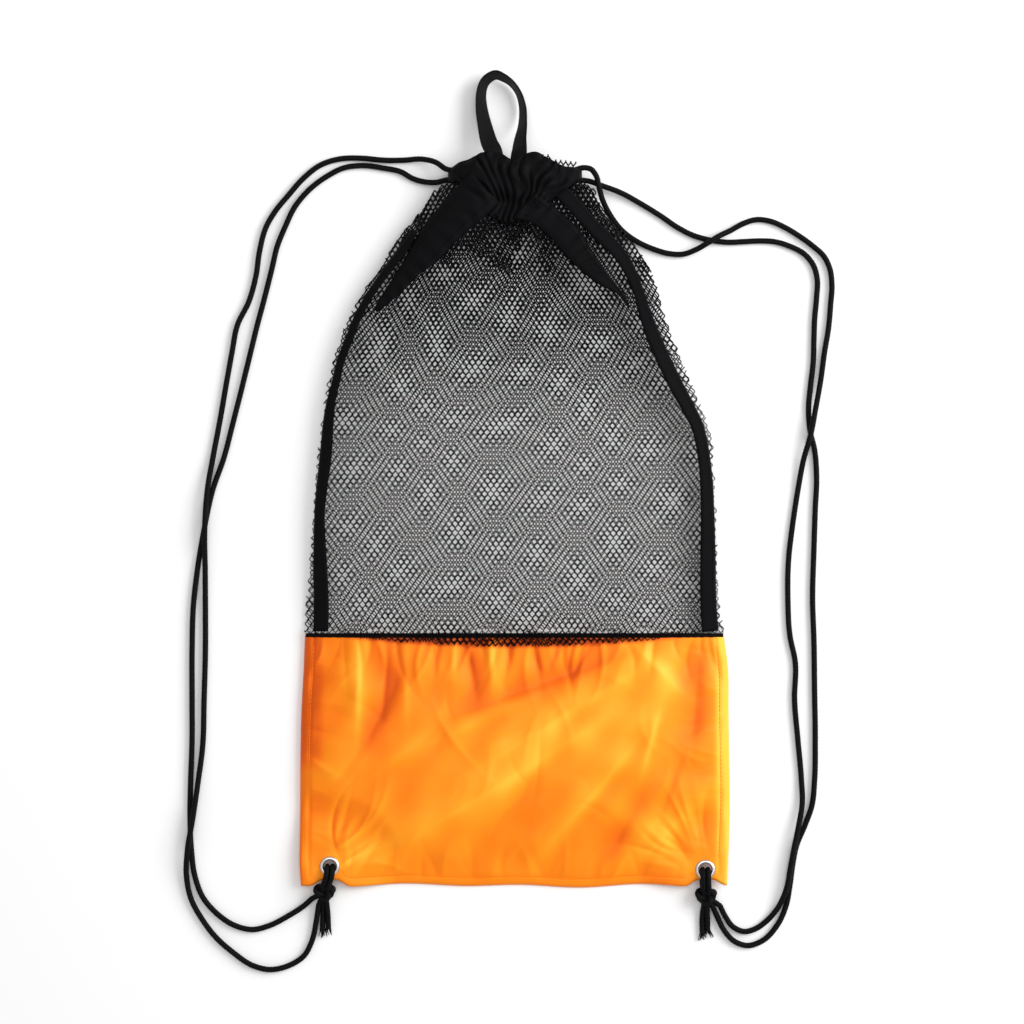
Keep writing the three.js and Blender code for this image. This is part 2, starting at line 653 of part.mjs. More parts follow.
function wingGeometry(rows) {
  const edges = rows.slice().reverse().map((row) => {
    const outer = new THREE.Vector2(row.outer * halfWidth, seamPlace + row.outerUp * netLength);
    const inner = new THREE.Vector2(row.inner * halfWidth, seamPlace + row.innerUp * netLength);
    return outer.x < inner.x ? [outer, inner] : [inner, outer];
  });
  return stripGeometry(edges, hemCloth);
}

// Gathered hem: a pleated tube round the small mouth that the drawstring leaves
function hemPoint(across, along, upper, inside) {
  const half = inside ? hemMouthWidth / 2 : hemWidth / 2;
  const x = across * half;
  const low = netTop(x) + 5 * clearance;
  const high = hemStart + hemHeight * column(hemTopEdge, 'across', 'rise', x / halfWidth);
  const y = mix(low, high, along);
  const middle = hemDepth * 0.4;
  if (inside) {
    const gap = hemMouthHeight / 2 * Math.pow(1 - Math.pow(Math.abs(across), 2.5), 0.5);
    return new THREE.Vector3(x, y, upper ? middle + gap : middle - gap);
  }
  if (!upper) return new THREE.Vector3(x, y, hemDepth * 0.19 * Math.pow(Math.abs(across), 4));
  const pinch = 1 - 0.16 * Math.exp(-Math.pow((along - 0.35) / 0.2, 2)) * (1 - smooth(Math.abs(across), 0.2, 0.6));
  const end = hemDepth * 0.6;
  const pleat = hemPleat * Math.cos(9 * Math.PI * across) * (1 - smooth(Math.abs(across), 0.8, 1));
  return new THREE.Vector3(x, y, end + (hemDepth * pinch - end) * swell(across) + pleat);
}

function hemGeometry() {
  const ring = (along, inside) => {
    const points = [];
    for (let k = 0; k <= hemColumns; k += 1) {
      points.push(hemPoint(2 * k / hemColumns - 1, along, true, inside));
    }
    const lower = hemColumns / 2;
    const skip = inside ? 1 : 0;
    for (let k = skip; k <= lower - skip; k += 1) {
      points.push(hemPoint(1 - 2 * k / lower, along, false, inside));
    }
    return points;
  };
  const body = (inside) => {
    const rings = [];
    for (let j = 0; j <= hemRows; j += 1) {
      const along = inside ? mix(-0.3, 1.3, j / hemRows) : j / hemRows;
      rings.push(ring(along, inside));
    }
    return solidFrom(shutTube(rings));
  };
  let solid = body(false).subtract(body(true));
  for (const run of Object.values(cordRuns)) {
    solid = solid.subtract(solidFrom(cordGeometry(run, clearance)));
    solid = solid.subtract(solidFrom(cordStart(run, clearance)));
  }
  return geometryOf(solid);
}

// Tube of rings with a fan over each end
function shutTube(rings) {
  const points = rings.flat();
  const faces = [];
  const count = rings[0].length;
  const last = count * (rings.length - 1);
  for (let k = 0; k < count; k += 1) {
    const n = (k + 1) % count;
    for (let j = 0; j + 1 < rings.length; j += 1) {
      const a = j * count;
      const b = a + count;
      faces.push(a + k, b + n, b + k, a + k, a + n, b + n);
    }
  }
  for (const start of [0, last]) {
    const contour = rings[start / count].map((point) => new THREE.Vector2(point.x, point.z));
    for (const face of THREE.ShapeUtils.triangulateShape(contour, [])) {
      const clockwise = THREE.ShapeUtils.isClockWise(face.map((k) => contour[k]));
      const [a, b, c] = face.map((k) => k + start);
      if (clockwise === (start === 0)) faces.push(a, c, b);
      else faces.push(a, b, c);
    }
  }
  return geometryFrom(points, faces);
}

function roundSection(width, height, sides) {
  const shape = new THREE.Shape();
  for (let k = 0; k < sides; k += 1) {
    const turn = 2 * Math.PI * (k + 0.5) / sides;
    const x = width / 2 * Math.cos(turn);
    const y = height / 2 * Math.sin(turn);
    if (k === 0) shape.moveTo(x, y);
    else shape.lineTo(x, y);
  }
  shape.closePath();
  return shape;
}

function tubeGeometry(points, width, height, steps, sides) {
  const path = new THREE.CatmullRomCurve3(points);
  return new THREE.ExtrudeGeometry(roundSection(width, height, sides), {
    steps,
    extrudePath: path,
    bevelEnabled: false,
    curveSegments: 1,
  });
}

function cordPoints(run) {
  return run.map(([x, y, z]) => new THREE.Vector3(x, y, z));
}

function cordGeometry(run, spare) {
  const points = cordPoints(run);
  const length = new THREE.CatmullRomCurve3(points).getLength();
  const steps = Math.round(length / (3 * cordDiameter));
  const width = cordDiameter + 2 * spare;
  return tubeGeometry(points, width, width, steps, 8);
}

// Room in front of a cord's first end, which finishes the hole that it leaves by
function cordStart(run, spare) {
  const [first, second] = cordPoints(run);
  const back = first.clone().sub(second).setLength(spare);
  const width = cordDiameter + 2 * spare;
  const points = [first.clone().add(back), first, first.clone().sub(back)];
  return tubeGeometry(points, width, width, 2, 8);
}

// Ribbon loop: a flat section carried along its centre line with its own twist
function loopGeometry() {
  const base = hemStart + hemHeight + clearance;
  const centres = loopRun.map((row) => new THREE.Vector3(
    (row.across - loopLeftLeg) * loopWidth,
    base + row.up * loopHeight,
    row.lift * ribbonWidth,
  ));
  const curve = new THREE.CatmullRomCurve3(centres);
  const rows = 26;
  const rings = [];
  for (let j = 0; j <= rows; j += 1) {
    const at = j / rows;
    const centre = curve.getPoint(at);
    const run = curve.getTangent(at);
    const place = at * (loopRun.length - 1);
    const low = Math.min(loopRun.length - 2, Math.floor(place));
    const twist = mix(loopRun[low].twist, loopRun[low + 1].twist, place - low);
    const flat = new THREE.Vector3(run.y, -run.x, 0).normalize();
    const wide = flat.clone().applyAxisAngle(run, THREE.MathUtils.degToRad(twist));
    const thick = new THREE.Vector3().crossVectors(run, wide).normalize();
    rings.push([[-1, -1], [-1, 1], [1, 1], [1, -1]].map(([a, b]) => centre.clone()
      .addScaledVector(wide, a * ribbonWidth / 2)
      .addScaledVector(thick, b * ribbonThick / 2)));
  }
  const points = rings.flat();
  const faces = [];
  for (let j = 0; j < rows; j += 1) {
    for (let k = 0; k < 4; k += 1) {
      const n = (k + 1) % 4;
      const a = 4 * j;
      const b = a + 4;
      faces.push(a + k, b + k, b + n, a + k, b + n, a + n);
    }
  }
  const last = 4 * rows;
  faces.push(0, 1, 2, 0, 2, 3, last, last + 2, last + 1, last, last + 3, last + 2);
  return geometryFrom(points, faces);
}

// Knot of one corner: the doubled cord through the eyelet, three wraps of the
// overhand knot, the stubs that meet the two cords and the two tails
function knotGeometry(eyelet, offset, runs, tails) {
  const knot = new THREE.Vector3(eyelet.x + offset.x, eyelet.y + offset.y, knotHeight / 2 + 0.3);
  const bore = eyeletBore / 2;
  const rise = eyeletZ + sideHem / 2 + clearance + eyeletFlange;
  const through = [
    [0, knot.y - eyelet.y, knot.z],
    [0, -bore - 12, 3.6],
    [0, -bore - 7.5, 2.3],
    [0, -bore + 1, 2.3],
    [0, -1.4, 3.6],
    [0, -0.4, 6],
    [0, -0.4, rise - 1.6],
    [0, -1.6, rise + 1.4],
    [0, -bore + 0.6, rise + 3],
    [0, -bore - 4, rise + 3],
    [0, -bore - 9, rise + 1.6],
    [0, knot.y - eyelet.y, knot.z + 2],
  ].map(([dx, dy, z]) => new THREE.Vector3(
    eyelet.x + offset.x * smooth(-dy, bore, bore + 14) + dx,
    eyelet.y + dy,
    z,
  ));
  const pair = tubeGeometry(through, 2 * cordDiameter - 0.4, cordDiameter - 0.1, 16, 6);
  let solid = solidFrom(pair);
  for (const turn of [0, 60, 120]) {
    const wrap = new THREE.SphereGeometry(1, 8, 5);
    wrap.scale(knotWidth / 2, knotLength / 3.4, knotHeight / 2);
    wrap.rotateZ(THREE.MathUtils.degToRad(turn));
    wrap.scale(1, knotLength / knotWidth, 1);
    wrap.translate(knot.x, knot.y, knot.z);
    solid = solid.add(solidFrom(wrap));
  }
  for (const run of runs) {
    const end = cordPoints(run.slice(-2));
    const along = end[1].clone().sub(end[0]).setLength(clearance);
    const start = end[1].clone().add(along);
    const next = start.clone().addScaledVector(along, 8);
    const stub = tubeGeometry([start, next, knot], cordDiameter, cordDiameter, 2, 8);
    solid = solid.add(solidFrom(stub));
  }
  for (const tail of tails) {
    const points = tail.map(([x, y, z]) => new THREE.Vector3(knot.x + x, knot.y + y, z));
    solid = solid.add(solidFrom(tubeGeometry(points, cordDiameter, cordDiameter, 3, 6)));
  }
  return geometryOf(solid);
}

const knots = {
  left: {
    offset: new THREE.Vector2(-4, -19.4),
    runs: [cordRuns.cord_left_outer, cordRuns.cord_left_inner],
    tails: [
      [[0, -4, 6], [0, -18, 3], [-0.5, -30, 2.3]],
      [[1, -4, 6], [4.6, -17, 3], [6, -28, 2.3]],
    ],
  },
  right: {
    offset: new THREE.Vector2(0.6, -20),
    runs: [cordRuns.cord_right_inner, cordRuns.cord_right_outer],
    tails: [
      [[-1, -4, 6], [-3.2, -17, 3], [-3, -29, 2.3]],
      [[0, -4, 6], [1.6, -16, 3], [2, -27, 2.3]],
    ],
  },
};

const cloth = new THREE.MeshStandardMaterial({ color: 0xff9614, roughness: 0.42, metalness: 0 });
const net = new THREE.MeshStandardMaterial({ color: 0x17171a, roughness: 0.7, metalness: 0 });
const band = new THREE.MeshStandardMaterial({ color: 0x101013, roughness: 0.75, metalness: 0 });
const braid = new THREE.MeshStandardMaterial({ color: 0x0c0c0e, roughness: 0.8, metalness: 0 });
const metal = new THREE.MeshStandardMaterial({ color: 0xc9ccd0, roughness: 0.3, metalness: 1 });

const group = new THREE.Group();

function place(name, geometry, material) {
  const mesh = new THREE.Mesh(geometry, material.clone());
  mesh.name = name;
  group.add(mesh);
  return mesh;
}

place('base_pouch', pouchGeometry(), cloth);
place('base_seam', seamGeometry(), band);
place('mesh_body', netGeometry(), net);
for (const [name, rows] of Object.entries(tapeRuns)) place(name, tapeGeometry(rows), band);
for (const [name, rows] of Object.entries(wingRuns)) place(name, wingGeometry(rows), band);
place('hem_channel', hemGeometry(), band);
place('grab_loop', loopGeometry(), band);
for (const [side, centre] of Object.entries(eyelets)) {
  place(`grommet_${side}`, eyeletGeometry(0), metal).position.set(centre.x, centre.y, eyeletZ);
}
for (const [name, run] of Object.entries(cordRuns)) place(name, cordGeometry(run, 0), braid);
for (const [side, knot] of Object.entries(knots)) {
  place(`knot_${side}`, knotGeometry(eyelets[side], knot.offset, knot.runs, knot.tails), braid);
}

// The bag without its drawstring stands centred over the origin
const bag = new THREE.Box3();
for (const mesh of group.children) {
  if (!/^(cord|knot)_/.test(mesh.name)) bag.expandByObject(mesh);
}
const centre = bag.getCenter(new THREE.Vector3());
group.position.set(-centre.x, -centre.y, -bag.min.z);

export default group;
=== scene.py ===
"""Looks of a mesh dive gear bag lying flat: a crinkled orange cloth pouch, a black net
tube in two layers, binding tapes, a gathered hem with a ribbon loop, and a drawstring
in four free runs that is knotted through an eyelet in each lower corner."""

import math

import bpy
import numpy as np
from bpy.props import FloatProperty, FloatVectorProperty, IntProperty, PointerProperty
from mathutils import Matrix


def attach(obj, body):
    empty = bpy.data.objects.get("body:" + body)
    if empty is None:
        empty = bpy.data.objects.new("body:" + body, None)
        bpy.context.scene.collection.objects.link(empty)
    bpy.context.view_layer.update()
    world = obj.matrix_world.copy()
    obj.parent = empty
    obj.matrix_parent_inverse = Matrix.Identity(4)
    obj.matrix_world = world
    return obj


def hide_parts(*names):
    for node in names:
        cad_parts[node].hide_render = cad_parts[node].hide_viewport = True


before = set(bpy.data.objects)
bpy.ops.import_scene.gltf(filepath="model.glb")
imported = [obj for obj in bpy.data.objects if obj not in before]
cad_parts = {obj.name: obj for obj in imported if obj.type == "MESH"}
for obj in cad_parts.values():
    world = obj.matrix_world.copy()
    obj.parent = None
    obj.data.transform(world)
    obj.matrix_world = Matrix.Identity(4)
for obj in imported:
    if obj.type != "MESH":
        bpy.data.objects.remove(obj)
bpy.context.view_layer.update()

bl_info = {
    "name": "Mesh Dive Gear Bag",
    "version": (1, 0, 0),
    "blender": (4, 5, 0),
    "location": "View3D > Sidebar > Gear Bag",
    "description": "Cloth, net, cords and stage of a mesh dive gear bag",
    "category": "Object",
}

# Sizes of the bag in millimetres
MM = 0.001
HALF = 157.0
POUCH_FOOT = -305.0
SEAM_LOW = -120.2
SEAM_HIGH = -115.8
SEAM_MIDDLE = -118.0
MOUTH = -117.6
POUCH_HEIGHT = SEAM_LOW - POUCH_FOOT
POUCH_DEPTH = 18.0
SIDE_HEM = 3.2
CORNER_LIFT = 6.0
NET_LENGTH = 308.0
NET_DEPTH = 25.0
NET_EDGE = 4.5
HEM_START = 190.0
HEM_HEIGHT = 52.0
HEM_DEPTH = 29.0
HEM_HALF = 50.0
PINCH = (-7.0, 206.0)
THROAT_HALF = 20.0
THROAT_GAP = 6.0
TAPE_WIDTH = 12.0
LOOP_WIDTH = 31.0
LOOP_HEIGHT = 59.3
LOOP_LEFT_LEG = 0.62
LOOP_SHIFT = 1.6
RIBBON_WIDTH = 13.0
RIBBON_THICK = 1.6
GAP = 0.35
EYELET_Z = 7.6
EYELETS = {"left": (-138.4, -289.8), "right": (142.2, -292.2)}
EYELET_BORE = 4.8
EYELET_RIM = 7.4
EYELET_HOLE = 5.95
CORD = 4.2
CLOTH = 1.2
STITCH_INSET = 7.0
STITCH_GAP = 0.8
GATHERED_START = 283.0
RAGGED_FROM, RAGGED_TO = 9.0, 46.0

# Tones of the pouch, 0 deep to 1 pale: plain cloth, and how far folds, small creases and
# facets that lean to the left change it as painted shade and painted highlight, then its
# underside, lining and thread
PLAIN_TONE = 0.48
FOLD_PAINTED_SHADING = 0.27
CREASE_PAINTED_SHADING = 0.04
FACET_PAINTED_SHADING = 0.5
UNDER_TONE = 0.45
LINING_TONE = 0.4
THREAD_TONE = 0.42

# Stage in metres: camera, floor, and lamps by place, size and watts
CAMERA_LENS = 103.1
CAMERA_SENSOR = 36
CAMERA_PLACE = (-0.00225, -0.0251, 2.2)
FLOOR_HALF = 3
FLOOR_HEIGHT = -0.0004
FLOOR_WHITE = 0.97
LAMPS = (("overhead_lamp", (0.0, 0.35, 2.7), 1.8, 17), ("key_lamp", (1.7, 0.6, 1.35), 1.5, 44))
DAYLIGHT = 0.53

# Spread of the cloudy noise that the roughness follows
CLOUD_RANGE = (0.3, 0.7)

# Pouch: share of the way up, left and right half width as shares of half the bag's
# width, and depth as a share of the pouch's depth
POUCH_SECTIONS = np.array([
    [0.00, 1.020, 1.010, 0.16],
    [0.08, 1.026, 1.014, 0.38],
    [0.18, 1.026, 1.020, 0.62],
    [0.32, 1.026, 1.026, 0.86],
    [0.50, 1.025, 1.024, 1.00],
    [0.70, 1.020, 1.020, 0.98],
    [0.86, 1.010, 1.018, 0.92],
    [1.00, 1.003, 0.998, 0.88],
])

# Where the pouch's hollow starts: share of the way up and of the half width
POUCH_HOLLOW = np.array([[0.13, 0.70], [0.20, 0.80], [0.30, 0.90], [0.45, 0.955], [1.00, 0.975]])

# Main folds: place across and along, length and breadth as shares of the pouch's
# height, turn in degrees from the bag's length, and rise as a share of its depth
POUCH_FOLDS = np.array([
    [-0.76, 0.80, 0.20, 0.06, 4, 0.12],
    [-0.61, 0.84, 0.16, 0.06, -6, -0.12],
    [-0.19, 0.86, 0.14, 0.05, -10, -0.10],
    [-0.11, 0.90, 0.12, 0.05, 8, 0.10],
    [0.20, 0.83, 0.22, 0.06, -58, -0.07],
    [0.66, 0.86, 0.14, 0.12, -30, 0.10],
    [0.86, 0.74, 0.22, 0.06, 6, -0.14],
    [-0.88, 0.49, 0.12, 0.08, -40, 0.12],
    [-0.06, 0.48, 0.30, 0.10, -42, 0.12],
    [0.10, 0.34, 0.30, 0.08, -50, -0.05],
    [0.40, 0.60, 0.26, 0.10, -48, 0.08],
    [-0.55, 0.22, 0.22, 0.06, -62, 0.10],
    [0.62, 0.22, 0.22, 0.06, 60, 0.10],
    [-0.70, 0.62, 0.16, 0.07, 24, -0.08],
])

# Finer folds of the pouch in millimetres and degrees: place, turn from the bag's width,
# run, breadth, which is less than half as much on the steep side, and rise
FINE_FOLDS = np.array([
    [-118, -157, 88, 34, 8, 2.1], [-97, -148, 86, 26, 6, -1.6], [-82, -150, 90, 28, 7, 1.3],
    [-58, -130, 84, 14, 5, -1.7], [-46, -132, 88, 14, 5, 1.4], [-34, -137, 100, 19, 6, -1.9],
    [-18, -134, 92, 16, 4, 1.4], [-4, -131, 80, 14, 4.5, -1.6], [16, -135, 100, 17, 5, -1.7],
    [30, -130, 70, 13, 5, -1.3], [52, -131, 60, 16, 5, -1.2], [44, -134, 75, 14, 4, 1.0],
    [19, -153, 20, 64, 9, -2.0], [34, -176, 31, 70, 12, 1.9], [105, -142, 135, 28, 12, 2.6],
    [135, -166, 85, 42, 12, -2.5], [100, -196, 75, 24, 7, 1.5], [-15, -228, 32, 78, 13, 2.0],
    [60, -230, 50, 52, 12, 1.8], [79, -265, 62, 26, 15, -2.0],
    [110, -267, 45, 30, 12, 1.7], [-148, -213, 150, 14, 5, 1.6], [-126, -287, 20, 16, 8, 3.4],
    [124, -283, 140, 22, 7, 3.0], [-90, -207, 40, 44, 12, 1.0], [-70, -262, 25, 44, 12, -1.0],
    [-104, -182, 62, 40, 10, -1.1], [118, -226, 70, 26, 7, -1.2], [-40, -186, 24, 46, 9, 0.9],
])

# Net: share of the way up, left and right half width, and depth as shares
NET_SECTIONS = np.array([
    [0.000, 1.003, 0.998, 0.64],
    [0.082, 0.994, 0.970, 0.74],
    [0.174, 0.979, 0.965, 0.84],
    [0.266, 0.965, 0.960, 0.92],
    [0.357, 0.951, 0.951, 0.97],
    [0.450, 0.932, 0.936, 1.00],
    [0.541, 0.908, 0.869, 1.00],
    [0.633, 0.865, 0.788, 1.00],
    [0.725, 0.798, 0.717, 0.99],
    [0.816, 0.693, 0.659, 0.98],
    [0.862, 0.626, 0.615, 0.98],
    [0.909, 0.564, 0.545, 0.98],
    [0.945, 0.506, 0.465, 0.98],
    [1.000, 0.414, 0.385, 0.98],
])

# Layers of the front net: share of the layers' turn, stretch, seed, and how many layers
# lie below where it is doubled over the pouch. Then those of the back net: share of the
# turn, seed, and 1 for the one that is gathered at the neck.
FRONT_LAYERS = ((0.5, 1.01, 31, 0), (-1, 0.99, 57, 1), (0.2, 1.0, 83, 2))
BACK_LAYERS = ((-0.5, 77, 0), (1.1, 91, 1))

# Edges of the gathered hem: place across as a share of half the bag's width and rise
# as a share of the hem's height
NET_TOP_EDGE = np.array([
    [-0.414, 0.33], [-0.357, 0.46], [-0.312, 0.53], [-0.248, 0.56], [-0.190, 0.36],
    [-0.129, 0.16], [-0.010, 0.00], [0.072, 0.15], [0.206, 0.41], [0.248, 0.50],
    [0.320, 0.54], [0.357, 0.47], [0.414, 0.31],
])
HEM_TOP_EDGE = np.array([
    [-0.320, 0.84], [-0.220, 0.90], [-0.148, 1.00], [-0.064, 0.98], [-0.020, 0.90],
    [0.053, 0.98], [0.096, 1.00], [0.166, 0.90], [0.239, 0.80], [0.320, 0.86],
])

# Binding tapes: centre line across and up in thousandths of half the bag's width and of
# the net's length, and thousandths of the tape's width
TAPES = {
    "side_tape_left": np.array([
        [-924, 12, 940], [-922, 90, 960], [-927, 177, 880],
        [-930, 287, 690], [-920, 353, 720], [-900, 438, 780],
        [-886, 526, 690], [-869, 582, 560], [-850, 618, 530],
        [-830, 664, 530], [-803, 701, 530], [-775, 737, 530],
        [-744, 776, 530], [-705, 813, 530], [-662, 847, 530],
        [-621, 876, 560], [-580, 905, 560], [-540, 930, 560],
        [-505, 957, 500], [-475, 982, 400],
    ]),
    "side_tape_right": np.array([
        [929, 12, 1060], [920, 90, 1030], [918, 185, 1000],
        [915, 306, 880], [905, 404, 810], [874, 496, 810],
        [826, 550, 880], [764, 608, 940], [707, 667, 940],
        [664, 716, 940], [621, 774, 810], [592, 823, 690],
        [560, 866, 750], [502, 920, 880], [420, 964, 940],
        [354, 998, 900], [300, 1030, 950], [225, 1071, 950], [160, 1095, 900],
    ]),
}

# Flat ends of the drawstring tunnel, from below: left edge and right edge, across and up
# in the same thousandths
WINGS = {
    "channel_wing_left": np.array([
        [-669, 793, -650, 784], [-626, 830, -578, 813],
        [-583, 864, -516, 840], [-540, 898, -454, 874],
        [-497, 937, -373, 903], [-439, 986, -287, 947],
        [-358, 1039, -215, 981], [-287, 1080, -148, 1010], [-215, 1122, -72, 1045],
    ]),
    "channel_wing_right": np.array([
        [530, 798, 543, 804], [482, 828, 506, 833],
        [406, 847, 454, 867], [325, 876, 406, 901],
        [253, 910, 358, 937], [201, 941, 311, 979],
        [143, 973, 244, 1010], [72, 998, 172, 1044],
        [-14, 1008, 100, 1071],
    ]),
}

# Ribbon loop: across and up as shares of its width and height, height above the
# surface as a share of the ribbon's width, and twist in degrees from lying flat
LOOP = np.array([
    [0.120, -0.200, 1.48, 0], [0.056, 0.000, 1.60, 4], [-0.056, 0.140, 1.22, 16],
    [-0.150, 0.340, 0.86, 33], [-0.226, 0.540, 0.66, 45], [-0.250, 0.730, 0.57, 55],
    [-0.200, 0.870, 0.57, 60], [-0.080, 0.955, 0.58, 63], [0.105, 1.000, 0.58, 66],
    [0.290, 0.965, 0.59, 70], [0.460, 0.905, 0.59, 74], [0.605, 0.815, 0.59, 75],
    [0.702, 0.705, 0.59, 72], [0.758, 0.555, 0.58, 66], [0.746, 0.370, 0.74, 60],
    [0.686, 0.160, 1.14, 45], [0.666, 0.000, 1.52, 28], [0.640, -0.200, 1.46, 12],
])

# Free runs of drawstring in millimetres, from the hem to the knots. A point without a
# height lies at that of a cord on the surface.
CORD_LOW = 2.3
CORDS = {
    "cord_left_outer": (
        (-43.5, 229, 14), (-51, 230.5, 13), (-59, 236, 9.4), (-70, 239, 5), (-83, 238.5, 2.6),
        (-98, 238.5), (-115, 240), (-131, 239.5), (-145.5, 235), (-158.5, 225), (-170, 212),
        (-179.5, 200.5), (-186.5, 188.5), (-191.5, 170), (-194, 152.5), (-199.5, 132.5),
        (-208, 115), (-212, 95), (-216.5, 70), (-221, 44), (-226, 17.5, 2.6), (-230, -7, 5.7),
        (-232, -38.5, 7.4), (-232, -68.5, 4.4), (-232, -95, 2.5), (-232, -128.5), (-233, -166),
        (-234, -200, 2.5), (-237.5, -228.5, 4.2), (-241, -254.5, 7.2), (-245, -278.5, 7),
        (-246, -298, 4.2), (-242.5, -315.5, 2.6), (-235, -329.5), (-224, -344), (-211.5, -355),
        (-196.5, -365), (-184, -368), (-169.5, -365), (-158, -357.5, 2.4), (-152, -346, 2.6),
        (-149, -332.5, 3.2), (-147, -319.5, 4.6),
    ),
    "cord_left_inner": (
        (-43.5, 223.5, 9.5), (-51, 223, 8.4), (-58.5, 221.5, 6), (-67, 222, 3.6), (-76, 224.5, 2.5),
        (-86, 230), (-98, 232.5), (-115, 234.5), (-129, 232.5), (-140, 227), (-153, 217.5),
        (-165, 203.5), (-172.5, 188), (-178, 174.5), (-182, 158), (-187.5, 136), (-193.5, 113.5),
        (-199, 91), (-205, 66.5), (-211.5, 41), (-218, 16), (-226.5, -8.5), (-233, -38.5),
        (-238, -68.5), (-241, -95), (-242, -128.5), (-242, -166), (-242, -196), (-243, -226),
        (-243.5, -256), (-242.5, -278.5), (-240, -297.5), (-233.5, -314.5), (-224, -325.5),
        (-211, -334.5), (-196, -338), (-184, -335, 2.4), (-169.5, -327.5, 2.7), (-158, -320, 3.4),
        (-152, -314.5, 4.6),
    ),
    "cord_right_inner": (
        (47, 223, 9.5), (56, 222, 8), (65, 219, 6.3), (79, 214, 4.2), (94, 206, 2.7),
        (109.5, 196.5), (122, 188), (134, 182), (147, 178.5), (160, 177), (172, 177.5), (183, 178),
        (194, 177.5), (206, 174), (217, 168), (223.5, 160), (226.5, 149), (226, 136), (224.5, 119),
        (224, 104), (223.5, 87.5), (221.5, 70), (220, 53), (221, 36.5), (224.5, 21.5), (226, 2.5),
        (225, -23.5), (224, -53.5), (223, -91), (224, -121), (224.5, -158.5), (225, -196),
        (224.5, -226), (222.5, -245), (217, -260.5), (211, -275), (208, -290), (206, -305),
        (203, -320.5), (196, -335.5), (186, -346), (174, -350), (164, -346.5, 2.4),
        (157, -339, 2.7), (152.5, -330.5, 3.4), (149, -322.5, 4.6),
    ),
    "cord_right_outer": (
        (45, 230, 14), (51, 231.5, 14), (56.5, 230.5, 14), (60.5, 225.5, 13.6), (62.5, 218, 12.8),
        (65, 209, 9.8), (71, 197.5, 4.8), (81, 185, 2.6), (91.5, 177.5), (103.5, 172),
        (115.5, 168.5, 2.6), (126, 168, 3.4), (136, 171.5, 5.6), (144, 176, 7.3), (152, 181, 6.8),
        (161, 185.5, 4), (171, 191, 2.5), (181, 194), (190.5, 193), (202.5, 188), (214, 181),
        (223.5, 174), (231.5, 166.5), (236, 157), (237.5, 145), (236.5, 130), (235, 113),
        (232, 95, 2.5), (229, 74, 3.6), (225, 53, 6.6), (221, 32.5, 7.4), (216, 14, 4.6),
        (212, -8.5, 2.6), (208, -35), (205, -61), (204.5, -91), (206, -117.5), (210, -137.5),
        (209.5, -166), (212, -196), (214.5, -224.5, 2.6), (215, -244, 4.2), (212, -260.5, 6.6),
        (209, -275, 7.6), (206, -290.5, 7.6), (203, -307, 6.8), (196.5, -322, 3.8),
        (188, -332, 2.5), (180, -337.5), (172, -339.5), (163.5, -336, 2.4), (157.5, -328, 2.8),
        (153.5, -320, 3.6),
    ),
}

# Knots in millimetres: offset from the eyelet, the runs that end there and the tails,
# each as points from the knot's centre with their height above the surface
KNOTS = {
    "left": ((-4.0, -19.4), ("cord_left_outer", "cord_left_inner"), (
        ((-1, -4, 6), (-1.4, -17, 3), (-2, -30, 2.3)),
        ((1, -4, 7), (2.2, -16, 4.6), (2.6, -28, 2.6)),
    )),
    "right": ((0.6, -20.0), ("cord_right_inner", "cord_right_outer"), (
        ((-1, -4, 6), (-2.6, -17, 3), (-2.4, -29, 2.3)),
        ((0.6, -4, 7), (1.2, -16, 4.4), (1.6, -27, 2.6)),
    )),
}
KNOT_HEIGHT = 13.4


# Shapes

def smooth(value, low, high):
    """0 below low and 1 above high, with an S-shaped cubic between."""
    t = np.clip((value - low) / (high - low), 0, 1)
    return t * t * (3 - 2 * t)


def mix(first, second, share):
    """Straight blend of two values."""
    return first + (second - first) * share


def distances(line):
    """Distance along a line of points, from its start to each of them."""
    return np.concatenate([[0], np.cumsum(np.linalg.norm(np.diff(line, axis=0), axis=1))])


def unit(vectors):
    """Vectors divided by their lengths."""
    return vectors / np.maximum(np.linalg.norm(vectors, axis=-1, keepdims=True), 1e-12)


def swell(across):
    """Rounded section of a flat bag, (1 - |across|^3.2)^0.55: 1 in the middle, 0 at the sides."""
    return (1 - np.minimum(1, np.abs(across)) ** 3.2) ** 0.55


def curve(at, table, name, key=0):
    """Column of a table at a place: the cubic through its rows whose slopes are the centred
    differences."""
    xs, ys = table[:, key], table[:, name]
    slope = np.gradient(ys, xs)
    at = np.clip(at, xs[0], xs[-1])
    i = np.clip(np.searchsorted(xs, at, side="right") - 1, 0, len(xs) - 2)
    step = xs[i + 1] - xs[i]
    t = (at - xs[i]) / step
    start = (1 + 2 * t) * (1 - t) ** 2 * ys[i] + t * (1 - t) ** 2 * step * slope[i]
    return start + t * t * (3 - 2 * t) * ys[i + 1] + t * t * (t - 1) * step * slope[i + 1]


def row_curves(rows, count):
    """Columns of a table at count places that are spread evenly over its rows."""
    at = np.linspace(0, len(rows) - 1, count)
    table = np.column_stack([np.arange(len(rows)), rows])
    return [curve(at, table, k) for k in range(1, table.shape[1])]


def waves(x, y, length, seed, count=8):
    """Sum of sines in seeded directions, each about one length long, scaled to a spread of one."""
    rng = np.random.default_rng(seed)
    total = np.zeros(np.broadcast(x, y).shape)
    for _ in range(count):
        turn, phase = rng.uniform(0, math.tau, 2)
        rate = math.tau / (length * rng.uniform(0.7, 1.4))
        total += np.sin(rate * (x * math.cos(turn) + y * math.sin(turn)) + phase)
    return total * math.sqrt(2 / count)


def half_width(table, along, x):
    """Half width on the side of x: the table's left or right share of half the bag's width."""
    return HALF * np.where(x < 0, curve(along, table, 1), curve(along, table, 2))


